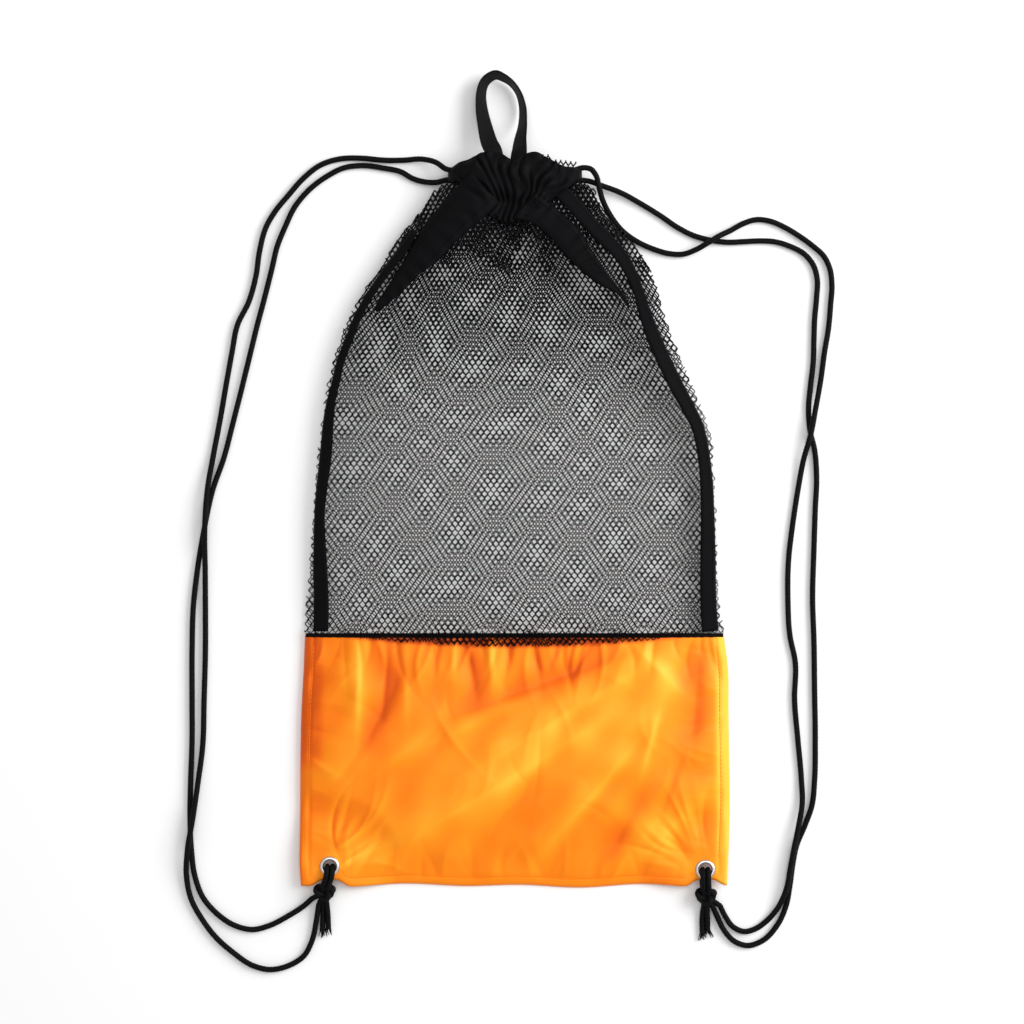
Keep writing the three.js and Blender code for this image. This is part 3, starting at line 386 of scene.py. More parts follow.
def from_eyelets(x, y):
    """Distance from a place to the nearer eyelet's axis."""
    return np.minimum(*[np.hypot(x - ex, y - ey) for ex, ey in EYELETS.values()])


def pouch_creases(seed):
    """Rows of place, turn, run, breadth, rise and bend for the small creases: fans at the
    eyelets, puckers at the seam, the foot and the sides, and crumples between them."""
    rng = np.random.default_rng(seed)
    rows = []

    def add(x, y, turn, run, breadth, rise, up=0.5):
        sign = 1 if rng.random() < up else -1
        rows.append((x, y, turn, rng.uniform(*run), rng.uniform(*breadth),
                     sign * rng.uniform(*rise), rng.uniform(-0.3, 0.3)))

    for ex, ey in EYELETS.values():
        inward = -math.copysign(1, ex)
        for turn in np.radians(np.linspace(4, 88, 11) + rng.uniform(-3, 3, 11)):
            way = np.array([inward * math.cos(turn), math.sin(turn)])
            x, y = np.array([ex, ey]) + way * rng.uniform(24, 46)
            add(x, y, math.atan2(way[1], way[0]), (12, 30), (1.4, 2.8), (0.5, 1.2), 0.6)
    for x in np.linspace(-146, 146, 30) + rng.uniform(-4, 4, 30):
        add(x, SEAM_LOW - rng.uniform(0, 12), math.radians(90 + rng.uniform(-20, 20)),
            (9, 28), (1.6, 3.6), (0.6, 1.6))
    for x in np.linspace(-120, 120, 22) + rng.uniform(-5, 5, 22):
        add(x, POUCH_FOOT + rng.uniform(8, 22), math.radians(90 + rng.uniform(-35, 35)),
            (7, 20), (1.8, 3.6), (0.25, 0.6))
    for side in (-1, 1):
        for y in np.linspace(-272, -130, 13) + rng.uniform(-4, 4, 13):
            add(side * (HALF - rng.uniform(8, 24)), y, math.radians(rng.uniform(-30, 30)),
                (8, 20), (1.8, 3.6), (0.25, 0.7))
    for _ in range(44):
        add(rng.uniform(-128, 128), rng.uniform(-285, -132),
            math.radians(rng.choice([42, 128, 75]) + rng.normal(0, 16)),
            (9, 30), (1.8, 5.0), (0.2, 0.6))
    return rows


def crease_height(x, y, rows):
    """Sum of ridges: each is its rise times exp(-(way along / run)^2) times
    exp(0.2 - sqrt((way across / breadth)^2 + 0.04)), bent by its bend."""
    total = np.zeros_like(x)
    for cx, cy, turn, run, breadth, rise, bend in rows:
        dx, dy = x - cx, y - cy
        u = dx * math.cos(turn) + dy * math.sin(turn)
        v = dy * math.cos(turn) - dx * math.sin(turn) + bend * u * u / run
        total += rise * np.exp(0.2 - (u / run) ** 2 - np.sqrt((v / breadth) ** 2 + 0.04))
    return total


def pouch_surface(across, along, creases, strength):
    """x, y, upper and lower height and tone of the pouch: its table's outline, swelled between
    the side hems, lifted at the eyelets, with the folds and the small creases added. The tone,
    about 0 to 1, carries painted shade and painted highlight: it follows the folds, paler on a
    ridge and deeper in a hollow, it is deep with painted shade at the left side and under the
    net's foot, where the net hangs over the pouch, and pale with a painted highlight at the right."""
    x = across * half_width(POUCH_SECTIONS, along, across)
    tuck = sum(5.4 * (1 - smooth(np.abs(x - ex), 4, 16)) for ex, _ in EYELETS.values())
    foot = POUCH_FOOT + tuck + 0.5 * waves(x, 0 * x, 60, 11)
    y = mix(foot, MOUTH, along)
    apart = from_eyelets(x, y)
    low = CORNER_LIFT * (1 - smooth(apart, 17, 52))
    depth = POUCH_DEPTH * curve(along, POUCH_SECTIONS, 3)
    full = np.maximum(0, depth - SIDE_HEM) * swell(across) * smooth(apart, 17, 56)
    folds = np.zeros_like(x)
    for place, up, run, breadth, turn, rise in POUCH_FOLDS:
        turn = math.radians(turn)
        dx = (x - place * HALF) / POUCH_HEIGHT
        dy = (y - mix(POUCH_FOOT, SEAM_LOW, up)) / POUCH_HEIGHT
        u = (dy * math.cos(turn) - dx * math.sin(turn)) / run
        v = (dx * math.cos(turn) + dy * math.sin(turn)) / breadth
        folds += rise * POUCH_DEPTH * np.exp(-u * u - v * v)
    for cx, cy, turn, run, breadth, rise in FINE_FOLDS:
        turn = math.radians(turn)
        u = ((x - cx) * math.cos(turn) + (y - cy) * math.sin(turn)) / run
        v = ((y - cy) * math.cos(turn) - (x - cx) * math.sin(turn)) / breadth
        v = np.where(v < 0, -2.2 * v, v)
        folds += rise * np.exp(-u * u - v ** 1.6)
    free = swell(across) * smooth(along, 0, 0.2) * (1 - 0.5 * smooth(along, 0.95, 1))
    small = crease_height(x, y, creases) + 0.35 * waves(x, y, 34, 5, 12)
    side = (1 - np.abs(across)) * HALF
    inset = np.minimum(side, along * POUCH_HEIGHT)
    held = smooth(inset, 1, 9) * smooth(apart, 7, 13) * (1 - 0.5 * smooth(along, 0.97, 1))
    groove = 0.45 * np.exp(-((inset - STITCH_INSET) / 1.2) ** 2) * smooth(apart, 8, 11)
    edge = 1 - (1 - np.clip(inset / 1.8, 0, 1)) ** 2
    hem = SIDE_HEM * (0.3 + 0.7 * np.sqrt(edge))
    upper = low + hem + full - groove
    upper += folds * free * smooth(apart, 20, 56) + strength * held * small
    # Painted shade and highlight: the tone is deeper in the hollows of the folds and small creases
    # and paler on their ridges.
    tone = PLAIN_TONE + FOLD_PAINTED_SHADING * np.tanh(0.6 * folds * swell(across))
    tone += CREASE_PAINTED_SHADING * held * small
    # Painted highlight along the right edge and painted shade along the left side, from the middle
    # of the pouch up to its mouth.
    tone += 0.3 * smooth(x, 146, 154) - 0.2 * (1 - smooth(x, -148, -140)) * smooth(y, -222, -208)
    # Painted shade on the pouch under the net where it hangs over it, in the middle of the width.
    tone -= 0.4 * smooth(y - net_foot(x), -2.5, 1.5) * (1 - smooth(np.abs(x), 120, 139))
    return x, y, np.maximum(upper, low + 0.6), low, tone


def net_foot(x):
    """Lower edge of the front net, which hangs over the pouch by up to 9 mm in the middle."""
    return SEAM_HIGH - 0.8 - 9 * np.maximum(0, 1 - (x / 139) ** 2)


def net_top(x):
    """Upper edge of the net: the hem's start plus its table's rise."""
    return HEM_START + HEM_HEIGHT * curve(x / HALF, NET_TOP_EDGE, 1)


def hem_top(x):
    """Upper edge of the gathered hem: the hem's start plus its table's rise."""
    return HEM_START + HEM_HEIGHT * curve(x / HALF, HEM_TOP_EDGE, 1)


def net_place(x, y):
    """Shares across and along the net of a place, by six rounds of dividing by the local
    half width and by the height from the seam to the hem."""
    along = (y - SEAM_HIGH) / NET_LENGTH
    for _ in range(6):
        across = np.clip(x / half_width(NET_SECTIONS, np.clip(along, 0, 1), x), -1, 1)
        neck = across * half_width(NET_SECTIONS, 1.0, x)
        low, high = SEAM_HIGH + GAP, net_top(neck) - GAP
        along = (y - low) / (high - low)
    return across, np.clip(along, 0, 1)


def net_half(x, y):
    """Half width of the net at a height, on the side of x."""
    neck = net_top(np.sign(x) * half_width(NET_SECTIONS, 1.0, x)) - GAP
    low = SEAM_HIGH + GAP
    return half_width(NET_SECTIONS, np.clip((y - low) / (neck - low), 0, 1), x)


def net_over(x, y):
    """Height of the net's upper layer: from the side's edge height to the net's depth by
    the rounded section, with slow waves."""
    across, along = net_place(x, y)
    edge = mix(SIDE_HEM / 2, NET_EDGE, smooth(along, 0, 0.3))
    depth = NET_DEPTH * curve(along, NET_SECTIONS, 3)
    return edge + (depth - edge) * swell(across) + 0.6 * swell(across) * waves(x, y, 75, 21)


def net_under(x, y):
    """Height of the net's lower layer: flat on the surface, rising to the edge at the sides."""
    across, along = net_place(x, y)
    edge = mix(SIDE_HEM / 2, NET_EDGE, smooth(along, 0, 0.3))
    return 0.15 + edge * (1 - np.sqrt(np.maximum(0, 1 - np.abs(across) ** 6)))


def over_seam(x, y, creases, strength):
    """Height just over the pouch and the seam below the net, blended into the net above."""
    along = np.clip((y - POUCH_FOOT) / (MOUTH - POUCH_FOOT), 0, 1)
    across = np.clip(x / half_width(POUCH_SECTIONS, along, x), -1, 1)
    pouch = pouch_surface(across, along, creases, strength)[2]
    return mix(pouch + 1.0, net_over(x, y), smooth(y, SEAM_HIGH, SEAM_HIGH + 9))


# Meshes

def quads(rows, columns, wrap_rows=False, wrap_columns=False, first=0):
    """Corner numbers of a grid's cells, row after row, joined to its first row or column
    where it wraps."""
    i = np.arange(columns if wrap_columns else columns - 1)
    j = np.arange(rows if wrap_rows else rows - 1)[:, None]
    n, m = (i + 1) % columns, (j + 1) % rows
    cells = [j * columns + i, j * columns + n, m * columns + n, m * columns + i]
    return first + np.stack(cells, -1).reshape(-1, 4)


def ring(x, y, upper, lower):
    """Points of one ring: its upper heights from side to side, then its lower ones back."""
    return np.concatenate([np.column_stack([x, y, upper]), np.column_stack([x, y, lower])[::-1]])


def zip_end(columns, first, flip):
    """Faces that close a flat ring of upper and lower points across its width."""
    k = np.arange(columns - 1)
    faces = np.stack([k, 2 * columns - 1 - k, 2 * columns - 2 - k, k + 1], -1)
    return first + (faces[:, ::-1] if flip else faces)


def flat_tube(upper, lower):
    """Closed strip of an upper and a lower face, each rows by columns of points."""
    rows, columns = upper.shape[:2]
    points = np.concatenate([upper, lower[:, ::-1]], axis=1).reshape(-1, 3)
    ends = [zip_end(columns, 0, False), zip_end(columns, (rows - 1) * 2 * columns, True)]
    return points, np.concatenate([quads(rows, 2 * columns, wrap_columns=True), *ends])


def outward(points, faces):
    """The faces, turned round if the volume that they enclose is negative."""
    a, b, c, d = (points[faces[:, k]] for k in range(4))
    volume = (a * np.cross(b, c)).sum() + (a * np.cross(c, d)).sum()
    return faces if volume > 0 else faces[:, ::-1]


def without_doubles(points, faces):
    """Points that lie in one place made one, and the faces that then have four and three
    corners. The others had no area and are left out."""
    _, first, same = np.unique(np.round(points, 4), axis=0, return_index=True, return_inverse=True)
    faces = same.reshape(-1)[faces]
    doubled = faces == np.roll(faces, -1, axis=1)
    count = doubled.sum(axis=1)
    three = faces[count == 1][~doubled[count == 1]].reshape(-1, 3)
    return points[first], faces[count == 0], three


def smooth_line(path, step):
    """Points every step along the cubic through a path, by its length."""
    path = np.asarray(path, float)
    way = distances(path)
    table = np.column_stack([way, path])
    at = np.linspace(0, way[-1], max(3, int(round(way[-1] / step)) + 1))
    return np.column_stack([curve(at, table, k) for k in (1, 2, 3)])


def tube(path, radius, sides=14, step=0.8, braid=0.0, reference=(0, 0, 1), taper=0.0):
    """Round tube with closed ends: rings of the radius about the line, raised by braid times
    the product of two crossing cosines, and narrowed by taper towards the far end."""
    line = smooth_line(path, step)
    run = unit(np.gradient(line, axis=0))
    first = unit(reference - (run @ np.asarray(reference, float))[:, None] * run)
    second = np.cross(run, first)
    turn = math.tau * np.arange(sides) / sides
    way = distances(line)[:, None]
    weave = np.cos(3 * turn + way * 1.15) * np.cos(3 * turn - way * 1.15)
    size = radius * (1 - taper * way / way[-1]) * (1 + braid * weave)
    spokes = np.cos(turn)[:, None] * first[:, None] + np.sin(turn)[:, None] * second[:, None]
    rings = (line[:, None] + size[..., None] * spokes).reshape(-1, 3)
    points = np.concatenate([rings, line[[0, -1]]])
    count = len(line)
    k = np.arange(sides)
    n, centre, last = (k + 1) % sides, count * sides, (count - 1) * sides
    start = np.stack([np.full(sides, centre), n, k], -1)
    end = np.stack([np.full(sides, centre + 1), last + k, last + n], -1)
    around = radius * np.minimum(turn, math.tau - turn)
    uv = np.stack(np.broadcast_arrays(around, way), -1).reshape(-1, 2)
    uv = np.concatenate([uv, [[0, 0], [0, way[-1, 0]]]])
    return points, quads(count, sides, wrap_columns=True), np.concatenate([start, end]), uv


def strands(first, second, width, height, overlap):
    """Straight strands of a three-sided section, flat below and ridged above, between pairs
    of points, with the place seen from above as UV."""
    along = unit(second - first)
    first, second = first - along * overlap, second + along * overlap
    side = unit(np.cross(along, [0, 0, 1]))
    lift = np.cross(side, along) * height
    side = side * width / 2
    ends = [[end - side, end + side, end + lift] for end in (first, second)]
    points = np.stack([*ends[0], *ends[1]], axis=1).reshape(-1, 3)
    base = 6 * np.arange(len(first))[:, None, None]
    sides = (base + np.array([[0, 3, 4, 1], [1, 4, 5, 2], [2, 5, 3, 0]])).reshape(-1, 4)
    caps = (base + np.array([[0, 1, 2], [3, 5, 4]])).reshape(-1, 3)
    return points, sides, caps, points[:, :2]


def join(parts):
    """Several parts (points, four-cornered faces, three-cornered faces, UV) as one."""
    starts = np.cumsum([0] + [len(part[0]) for part in parts[:-1]])
    joined = [np.concatenate([part[0] for part in parts])]
    for k in (1, 2):
        joined.append(np.concatenate([part[k] + start for part, start in zip(parts, starts)]))
    joined.append(np.concatenate([part[3] for part in parts]))
    return joined


def add_object(name, data):
    """Object of some data, linked into the scene."""
    made = bpy.data.objects.new(name, data)
    bpy.context.scene.collection.objects.link(made)
    return made


def make(name, points, groups, look, uv=None, slot=None, rounded=True, replaced=()):
    """A mesh object from points in millimetres and groups of faces, riding on the bag. Its
    slot argument is not used."""
    mesh = bpy.data.meshes.new(name)
    corners = np.concatenate([group.ravel() for group in groups]).astype(np.int32)
    sizes = np.concatenate([np.full(len(group), group.shape[1]) for group in groups])
    mesh.vertices.add(len(points))
    mesh.vertices.foreach_set("co", (points * MM).astype(np.float32).ravel())
    mesh.loops.add(len(corners))
    mesh.loops.foreach_set("vertex_index", corners)
    mesh.polygons.add(len(sizes))
    mesh.polygons.foreach_set("loop_start", (np.cumsum(sizes) - sizes).astype(np.int32))
    mesh.polygons.foreach_set("use_smooth", np.full(len(sizes), rounded))
    if uv is not None:
        layer = mesh.uv_layers.new(name="UVMap")
        layer.uv.foreach_set("vector", uv[corners].astype(np.float32).ravel())
    mesh.update(calc_edges=True)
    mesh.materials.append(material(look))
    made = add_object(name, mesh)
    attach(made, "root")
    slot or look
    if replaced:
        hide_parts(*replaced)
    return made


def tint(made, tones):
    """Give each point of a mesh its tone, 0 deep to 1 pale."""
    shade = made.data.attributes.new("tone", "FLOAT", "POINT")
    shade.data.foreach_set("value", tones.astype(np.float32))


# Materials

def pattern_group(name, build):
    """Shader node group with the inputs Dark, Light and Size and the outputs Color, Mask and
    Height, whose nodes build adds once."""
    group = bpy.data.node_groups.get(name)
    if group:
        return group
    group = bpy.data.node_groups.new(name, "ShaderNodeTree")
    for label in ("Dark", "Light"):
        group.interface.new_socket(name=label, in_out="INPUT", socket_type="NodeSocketColor")
    group.interface.new_socket(name="Size", in_out="INPUT", socket_type="NodeSocketFloat")
    group.interface.new_socket(name="Color", in_out="OUTPUT", socket_type="NodeSocketColor")
    for label in ("Mask", "Height"):
        group.interface.new_socket(name=label, in_out="OUTPUT", socket_type="NodeSocketFloat")
    nodes, link = group.nodes, group.links.new
    start, end = nodes.new("NodeGroupInput"), nodes.new("NodeGroupOutput")
    place = nodes.new("ShaderNodeTexCoord")
    cloud = nodes.new("ShaderNodeTexNoise")
    cloud.inputs["Detail"].default_value = 4
    blend = nodes.new("ShaderNodeMix")
    blend.data_type = "RGBA"
    link(place.outputs["Object"], cloud.inputs["Vector"])
    link(start.outputs["Size"], cloud.inputs["Scale"])
    link(cloud.outputs["Fac"], blend.inputs["Factor"])
    link(start.outputs["Dark"], blend.inputs["A"])
    link(start.outputs["Light"], blend.inputs["B"])
    link(blend.outputs["Result"], end.inputs["Color"])
    link(cloud.outputs["Fac"], end.inputs["Mask"])
    link(build(nodes, link, place), end.inputs["Height"])
    return group


def bands(nodes, link, vector, scale, direction):
    """Wave texture of plain bands; one band is 0.314 / scale long."""
    wave = nodes.new("ShaderNodeTexWave")
    wave.bands_direction = direction
    wave.inputs["Scale"].default_value = scale
    link(vector, wave.inputs["Vector"])
    return wave.outputs["Fac"]


def product(nodes, link, first, second, kind="MULTIPLY"):
    """Two values multiplied, or taken together in another way."""
    maths = nodes.new("ShaderNodeMath")
    maths.operation = kind
    link(first, maths.inputs[0])
    link(second, maths.inputs[1])
    return maths.outputs[0]


def woven(nodes, link, place):
    """Plain weave: bands 0.55 mm apart across and along, multiplied."""
    across = bands(nodes, link, place.outputs["Object"], 571, "X")
    along = bands(nodes, link, place.outputs["Object"], 571, "Y")
    return product(nodes, link, across, along)


def ribbed(nodes, link, place):
    """Ribs 1.1 mm apart across a tape, whose UV counts millimetres, crossed by finer bands."""
    ribs = bands(nodes, link, place.outputs["UV"], 0.286, "Y")
    fine = bands(nodes, link, place.outputs["UV"], 0.52, "X")
    return product(nodes, link, ribs, fine, "MAXIMUM")


def braided(nodes, link, place):
    """Braid of a cord, whose UV counts millimetres: bands 1.3 mm apart on both slants."""
    slants = []
    for turn in (35, -35):
        mapping = nodes.new("ShaderNodeMapping")
        mapping.inputs["Rotation"].default_value[2] = math.radians(turn)
        link(place.outputs["UV"], mapping.inputs["Vector"])
        slants.append(bands(nodes, link, mapping.outputs["Vector"], 0.242, "Y"))
    return product(nodes, link, *slants, "MAXIMUM")


def brushed(nodes, link, place):
    """Fine noise for pressed metal."""
    noise = nodes.new("ShaderNodeTexNoise")
    noise.inputs["Scale"].default_value = 900
    link(place.outputs["Object"], noise.inputs["Vector"])
    return noise.outputs["Fac"]


PATTERNS = {"Woven cloth": woven, "Ribbed tape": ribbed, "Cord braid": braided,
            "Pressed metal": brushed}

# Pattern, dark and light colour, clouds per metre, roughness from and to, height of the
# pattern in millimetres, gloss and metal
MATERIALS = {
    "orange_cloth": ("Woven cloth", (0.42, 0.42, 0.42), (0.58, 0.58, 0.58), 30,
                     (0.34, 0.46), 0.05, 0.16, 0),
    "black_net": ("Woven cloth", (0.0015, 0.0015, 0.002), (0.004, 0.004, 0.005), 60,
                  (0.5, 0.7), 0.02, 0.08, 0),
    "black_binding": ("Ribbed tape", (0.0015, 0.0015, 0.002), (0.005, 0.005, 0.006), 40,
                      (0.6, 0.8), 0.12, 0.06, 0),
    "black_cloth": ("Woven cloth", (0.001, 0.001, 0.0013), (0.004, 0.004, 0.005), 45,
                    (0.5, 0.7), 0.06, 0.06, 0),
    "black_ribbon": ("Ribbed tape", (0.0015, 0.0015, 0.002), (0.005, 0.005, 0.006), 50,
                     (0.42, 0.6), 0.16, 0.1, 0),
    "black_cord": ("Cord braid", (0.001, 0.001, 0.0013), (0.004, 0.004, 0.0045), 90,
                   (0.5, 0.68), 0.14, 0.09, 0),
    "eyelet_metal": ("Pressed metal", (0.62, 0.63, 0.65), (0.86, 0.86, 0.87), 260,
                     (0.2, 0.34), 0.01, 0.5, 1),
}


def find(nodes, kind):
    """The first node of a kind."""
    return next(node for node in nodes if node.type == kind)


def material(name):
    """Material of the table's row, made once: the pattern's colour, roughness between the
    row's two by the pattern's mask, and its height as bump. The orange runs by the tone,
    which holds painted shade and painted highlight."""
    made = bpy.data.materials.get("bag_" + name)
    if made:
        return made
    kind, dark, light, size, rough, bump, gloss, metallic = MATERIALS[name]
    made = bpy.data.materials.new("bag_" + name)
    made.use_nodes = True
    nodes, link = made.node_tree.nodes, made.node_tree.links.new
    shader = find(nodes, "BSDF_PRINCIPLED")
    shader.inputs["Metallic"].default_value = metallic
    shader.inputs["Specular IOR Level"].default_value = gloss
    pattern = nodes.new("ShaderNodeGroup")
    pattern.node_tree = pattern_group(kind, PATTERNS[kind])
    pattern.inputs["Dark"].default_value = (*dark, 1)
    pattern.inputs["Light"].default_value = (*light, 1)
    pattern.inputs["Size"].default_value = size
    spread = nodes.new("ShaderNodeMapRange")
    for label, value in zip(("From Min", "From Max", "To Min", "To Max"), (*CLOUD_RANGE, *rough)):
        spread.inputs[label].default_value = value
    raised = nodes.new("ShaderNodeBump")
    raised.inputs["Strength"].default_value = 0.8
    raised.inputs["Distance"].default_value = bump * MM
    link(pattern.outputs["Mask"], spread.inputs["Value"])
    link(spread.outputs["Result"], shader.inputs["Roughness"])
    link(pattern.outputs["Height"], raised.inputs["Height"])
    link(raised.outputs["Normal"], shader.inputs["Normal"])
    colour = pattern.outputs["Color"]
    if name == "orange_cloth":
        colour = toned(nodes, link, colour)
    link(colour, shader.inputs["Base Color"])
    return made


def toned(nodes, link, cloud):
    """Coated orange nylon: the bag's five oranges from deep to pale by the mesh's tone, which
    holds painted shade and painted highlight, and a faintly cloudy grey. The place on the
    ramp is tone + cloud - 0.5."""
    tone = nodes.new("ShaderNodeAttribute")
    tone.attribute_name = "tone"
    level = nodes.new("ShaderNodeMath")
    level.operation = "SUBTRACT"
    level.inputs[1].default_value = 0.5
    link(product(nodes, link, tone.outputs["Fac"], cloud, "ADD"), level.inputs[0])
    ramp = nodes.new("ShaderNodeValToRGB")
    ramp.color_ramp.interpolation = "B_SPLINE"
    bag = bpy.context.scene.bag
    oranges = (bag.deepest, bag.deep, bag.plain, bag.pale, bag.palest)
    while len(ramp.color_ramp.elements) < len(oranges):
        ramp.color_ramp.elements.new(0.5)
    for number, colour in enumerate(oranges):
        ramp.color_ramp.elements[number].position = number / (len(oranges) - 1)
        ramp.color_ramp.elements[number].color = (*colour, 1)
    link(level.outputs[0], ramp.inputs["Fac"])
    return ramp.outputs["Color"]


# Pieces

def make_camera():
    """Camera straight above the bag, as far off as its frame of 768 mm and its lens need."""
    data = bpy.data.cameras.new("Camera")
    data.lens, data.sensor_width, data.clip_end = CAMERA_LENS, CAMERA_SENSOR, 20
    camera = add_object("Camera", data)
    camera.location = CAMERA_PLACE
    bpy.context.scene.camera = camera


def cord_path(name):
    """Points of a free run with their heights, in millimetres."""
    return np.array([(*point, CORD_LOW)[:3] for point in CORDS[name]])


def frayed(end, way, seed):
    """Loose fibres from a cut end: thin tapering tubes that spread about its way."""
    rng = np.random.default_rng(seed)
    side = unit(np.cross(way, [0, 0, 1]))
    fibres = []
    for _ in range(14):
        spread, rise, reach = rng.uniform(-0.55, 0.55), rng.uniform(-0.1, 0.1), rng.uniform(3, 7)
        start = end + side * rng.uniform(-1.5, 1.5) - way * 1.5
        tip = start + way * reach + side * spread * reach
        tip[2] = max(0.4, start[2] + rise * reach)
        middle = (start + tip) / 2 + side * rng.uniform(-0.7, 0.7)
        fibres.append(tube([start, middle, tip], 0.4, 5, 1.6, taper=0.5))
    return fibres


def knot_parts(side):
    """Overhand knot of the doubled cord: two hooks through the eyelet, two strands on trefoil
    lines, two wraps, a stub to each free run and two frayed tails."""
    (dx, dy), runs, tails = KNOTS[side]
    ex, ey = EYELETS[side]
    knot = np.array([ex + dx, ey + dy, KNOT_HEIGHT / 2 + 0.5])
    rise = EYELET_Z + SIDE_HEM / 2 + GAP + 0.9
    way = [(dy, knot[2]), (-16.8, 3.6), (-12.3, 2.3), (-3.8, 2.3), (-1.4, 3.6), (-0.4, 6.0),
           (-0.4, rise - 1.6), (-1.6, rise + 1.4), (-4.2, rise + 3), (-8.8, rise + 3),
           (-13.8, rise + 1.6), (dy, knot[2] + 2)]
    way = np.array([(ex + dx * smooth(-y, 4.8, 18.8), ey + y, z) for y, z in way])
    parts = []
    for shift in (-2.0, 2.0):
        parts.append(tube(way + [shift, 0, 0], CORD / 2 - 0.05, 12, 0.9, 0.05, (1, 0, 0)))
    t = np.linspace(0, math.tau, 40)
    trefoil = np.column_stack([
        (np.sin(t) + 2 * np.sin(2 * t)) / 2.74,
        (np.cos(t) - 2 * np.cos(2 * t)) / 3.0,
        -np.sin(3 * t),
    ])
    lines = [
        knot + trefoil * (6.4, 5.6, 3.6) + [0, 0, 0.3],
        knot + trefoil * (3.4, 3.2, 2.6) + [0, 0, -0.4],
        knot + np.column_stack([5.4 * np.cos(t), 4.4 * np.sin(t), 2.6 * np.sin(t + 0.6)]),
        knot + np.column_stack([2.6 * np.cos(t), 5.2 * np.sin(t), 2.9 * np.cos(t + 1.2)]),
    ]
    for name in runs:
        end = cord_path(name)[-1]
        lines.append([end, (end * 2 + knot) / 3, (end + 3 * knot) / 4])
    parts += [tube(line, CORD / 2, 12, 0.8, 0.05) for line in lines]
    for number, tail in enumerate(tails):
        line = np.array([(knot[0] + x, knot[1] + y, z) for x, y, z in tail])
        parts.append(tube(line, CORD / 2, 12, 0.8, 0.05))
        parts += frayed(line[-1], unit(line[-1] - line[-2]), 40 + number + (side == "right") * 2)
    return parts


def make_cords():
    """The four free runs as braided tubes and the two knots."""
    for side in KNOTS:
        points, four, three, uv = join(knot_parts(side))
        make(f"drawstring_knot_{side}", points, (four, three), "black_cord",
                           uv, replaced=(f"knot_{side}",))
    for name in CORDS:
        path = cord_path(name)
        points, four, three, uv = tube(path, CORD / 2, 14, 0.8, 0.045)
        made = make(f"drawstring_{name[5:]}", points, (four, three), "black_cord", uv,
                    replaced=(name,))
        line = smooth_line(path, 3) * MM


def make_pouch(crease, seed):
    """Hollow pouch: outer rings from the foot to the mouth and inner rings back to the
    hollow's foot, each ring its upper and then its lower points, open at both eyelets. Its
    tone holds painted shade where the upper face leans to the left and painted light where it
    leans to the right."""
    columns, rows, lining = 230, 135, 24
    place = np.linspace(-1, 1, columns)
    place = place * (1.15 - 0.15 * place * place)
    creases = pouch_creases(seed)
    rings = []
    tones = []
    for along in np.linspace(0, 1, rows):
        x, y, upper, lower, tone = pouch_surface(place, np.full(columns, along), creases, crease)
        rings.append(ring(x, y, upper, lower))
        # Painted shade and light by slope: a face that leans to the left gets a deeper tone, one
        # that leans to the right a paler one.
        tone -= FACET_PAINTED_SHADING * np.clip(np.gradient(upper, x), -0.35, 0.35)
        tones.append(np.r_[tone, np.full(columns, UNDER_TONE)])
    for along in np.linspace(1, POUCH_HOLLOW[0, 0], lining):
        inner = place * curve(along, POUCH_HOLLOW, 1)
        x, y, upper, lower, _ = pouch_surface(inner, np.full(columns, along), creases, crease)
        rings.append(ring(x, y, np.maximum(upper - CLOTH, lower + CLOTH + 0.4), lower + CLOTH))
    points = np.concatenate(rings)
    total = rows + lining
    faces = np.concatenate([
        quads(total, 2 * columns, wrap_columns=True),
        zip_end(columns, 0, False),
        zip_end(columns, (total - 1) * 2 * columns, True),
    ])
    middle = points[faces].mean(axis=1)
    away = from_eyelets(middle[:, 0], middle[:, 1])
    made = make("cloth_pouch", points, (faces[away > EYELET_HOLE],), "orange_cloth",
                points[:, :2], replaced=("base_pouch",))
    tint(made, np.concatenate(tones + [np.full(2 * columns * lining, LINING_TONE)]))


def make_seam(crease, seed):
    """Bound edge of the pouch's mouth: an oval section carried over the mouth and back below,
    where it is turned over, so that its faces look outward there too."""
    columns = 260
    place = np.linspace(-1, 1, columns)
    creases = pouch_creases(seed)
    x, _, upper, lower, _ = pouch_surface(place * 0.995, np.ones(columns), creases, crease)
    pucker = 0.25 * np.sin(x * 0.9 + 2 * waves(x, 0 * x, 40, 8))
    line = ring(x, np.full(columns, SEAM_HIGH - 1.6), upper - 0.2 + pucker, lower + 1.5)
    turn = math.tau * np.arange(10) / 10
    over = np.repeat([1, -1], columns)[:, None]
    section = np.broadcast_arrays(0.0, 1.5 * np.cos(turn), 1.15 * over * np.sin(turn))
    points = (line[:, None] + np.stack(section, -1)).reshape(-1, 3)
    faces = quads(2 * columns, 10, True, True)
    make("mouth_binding", points, (outward(points, faces),), "black_binding",
         points[:, :2], replaced=("base_seam",))


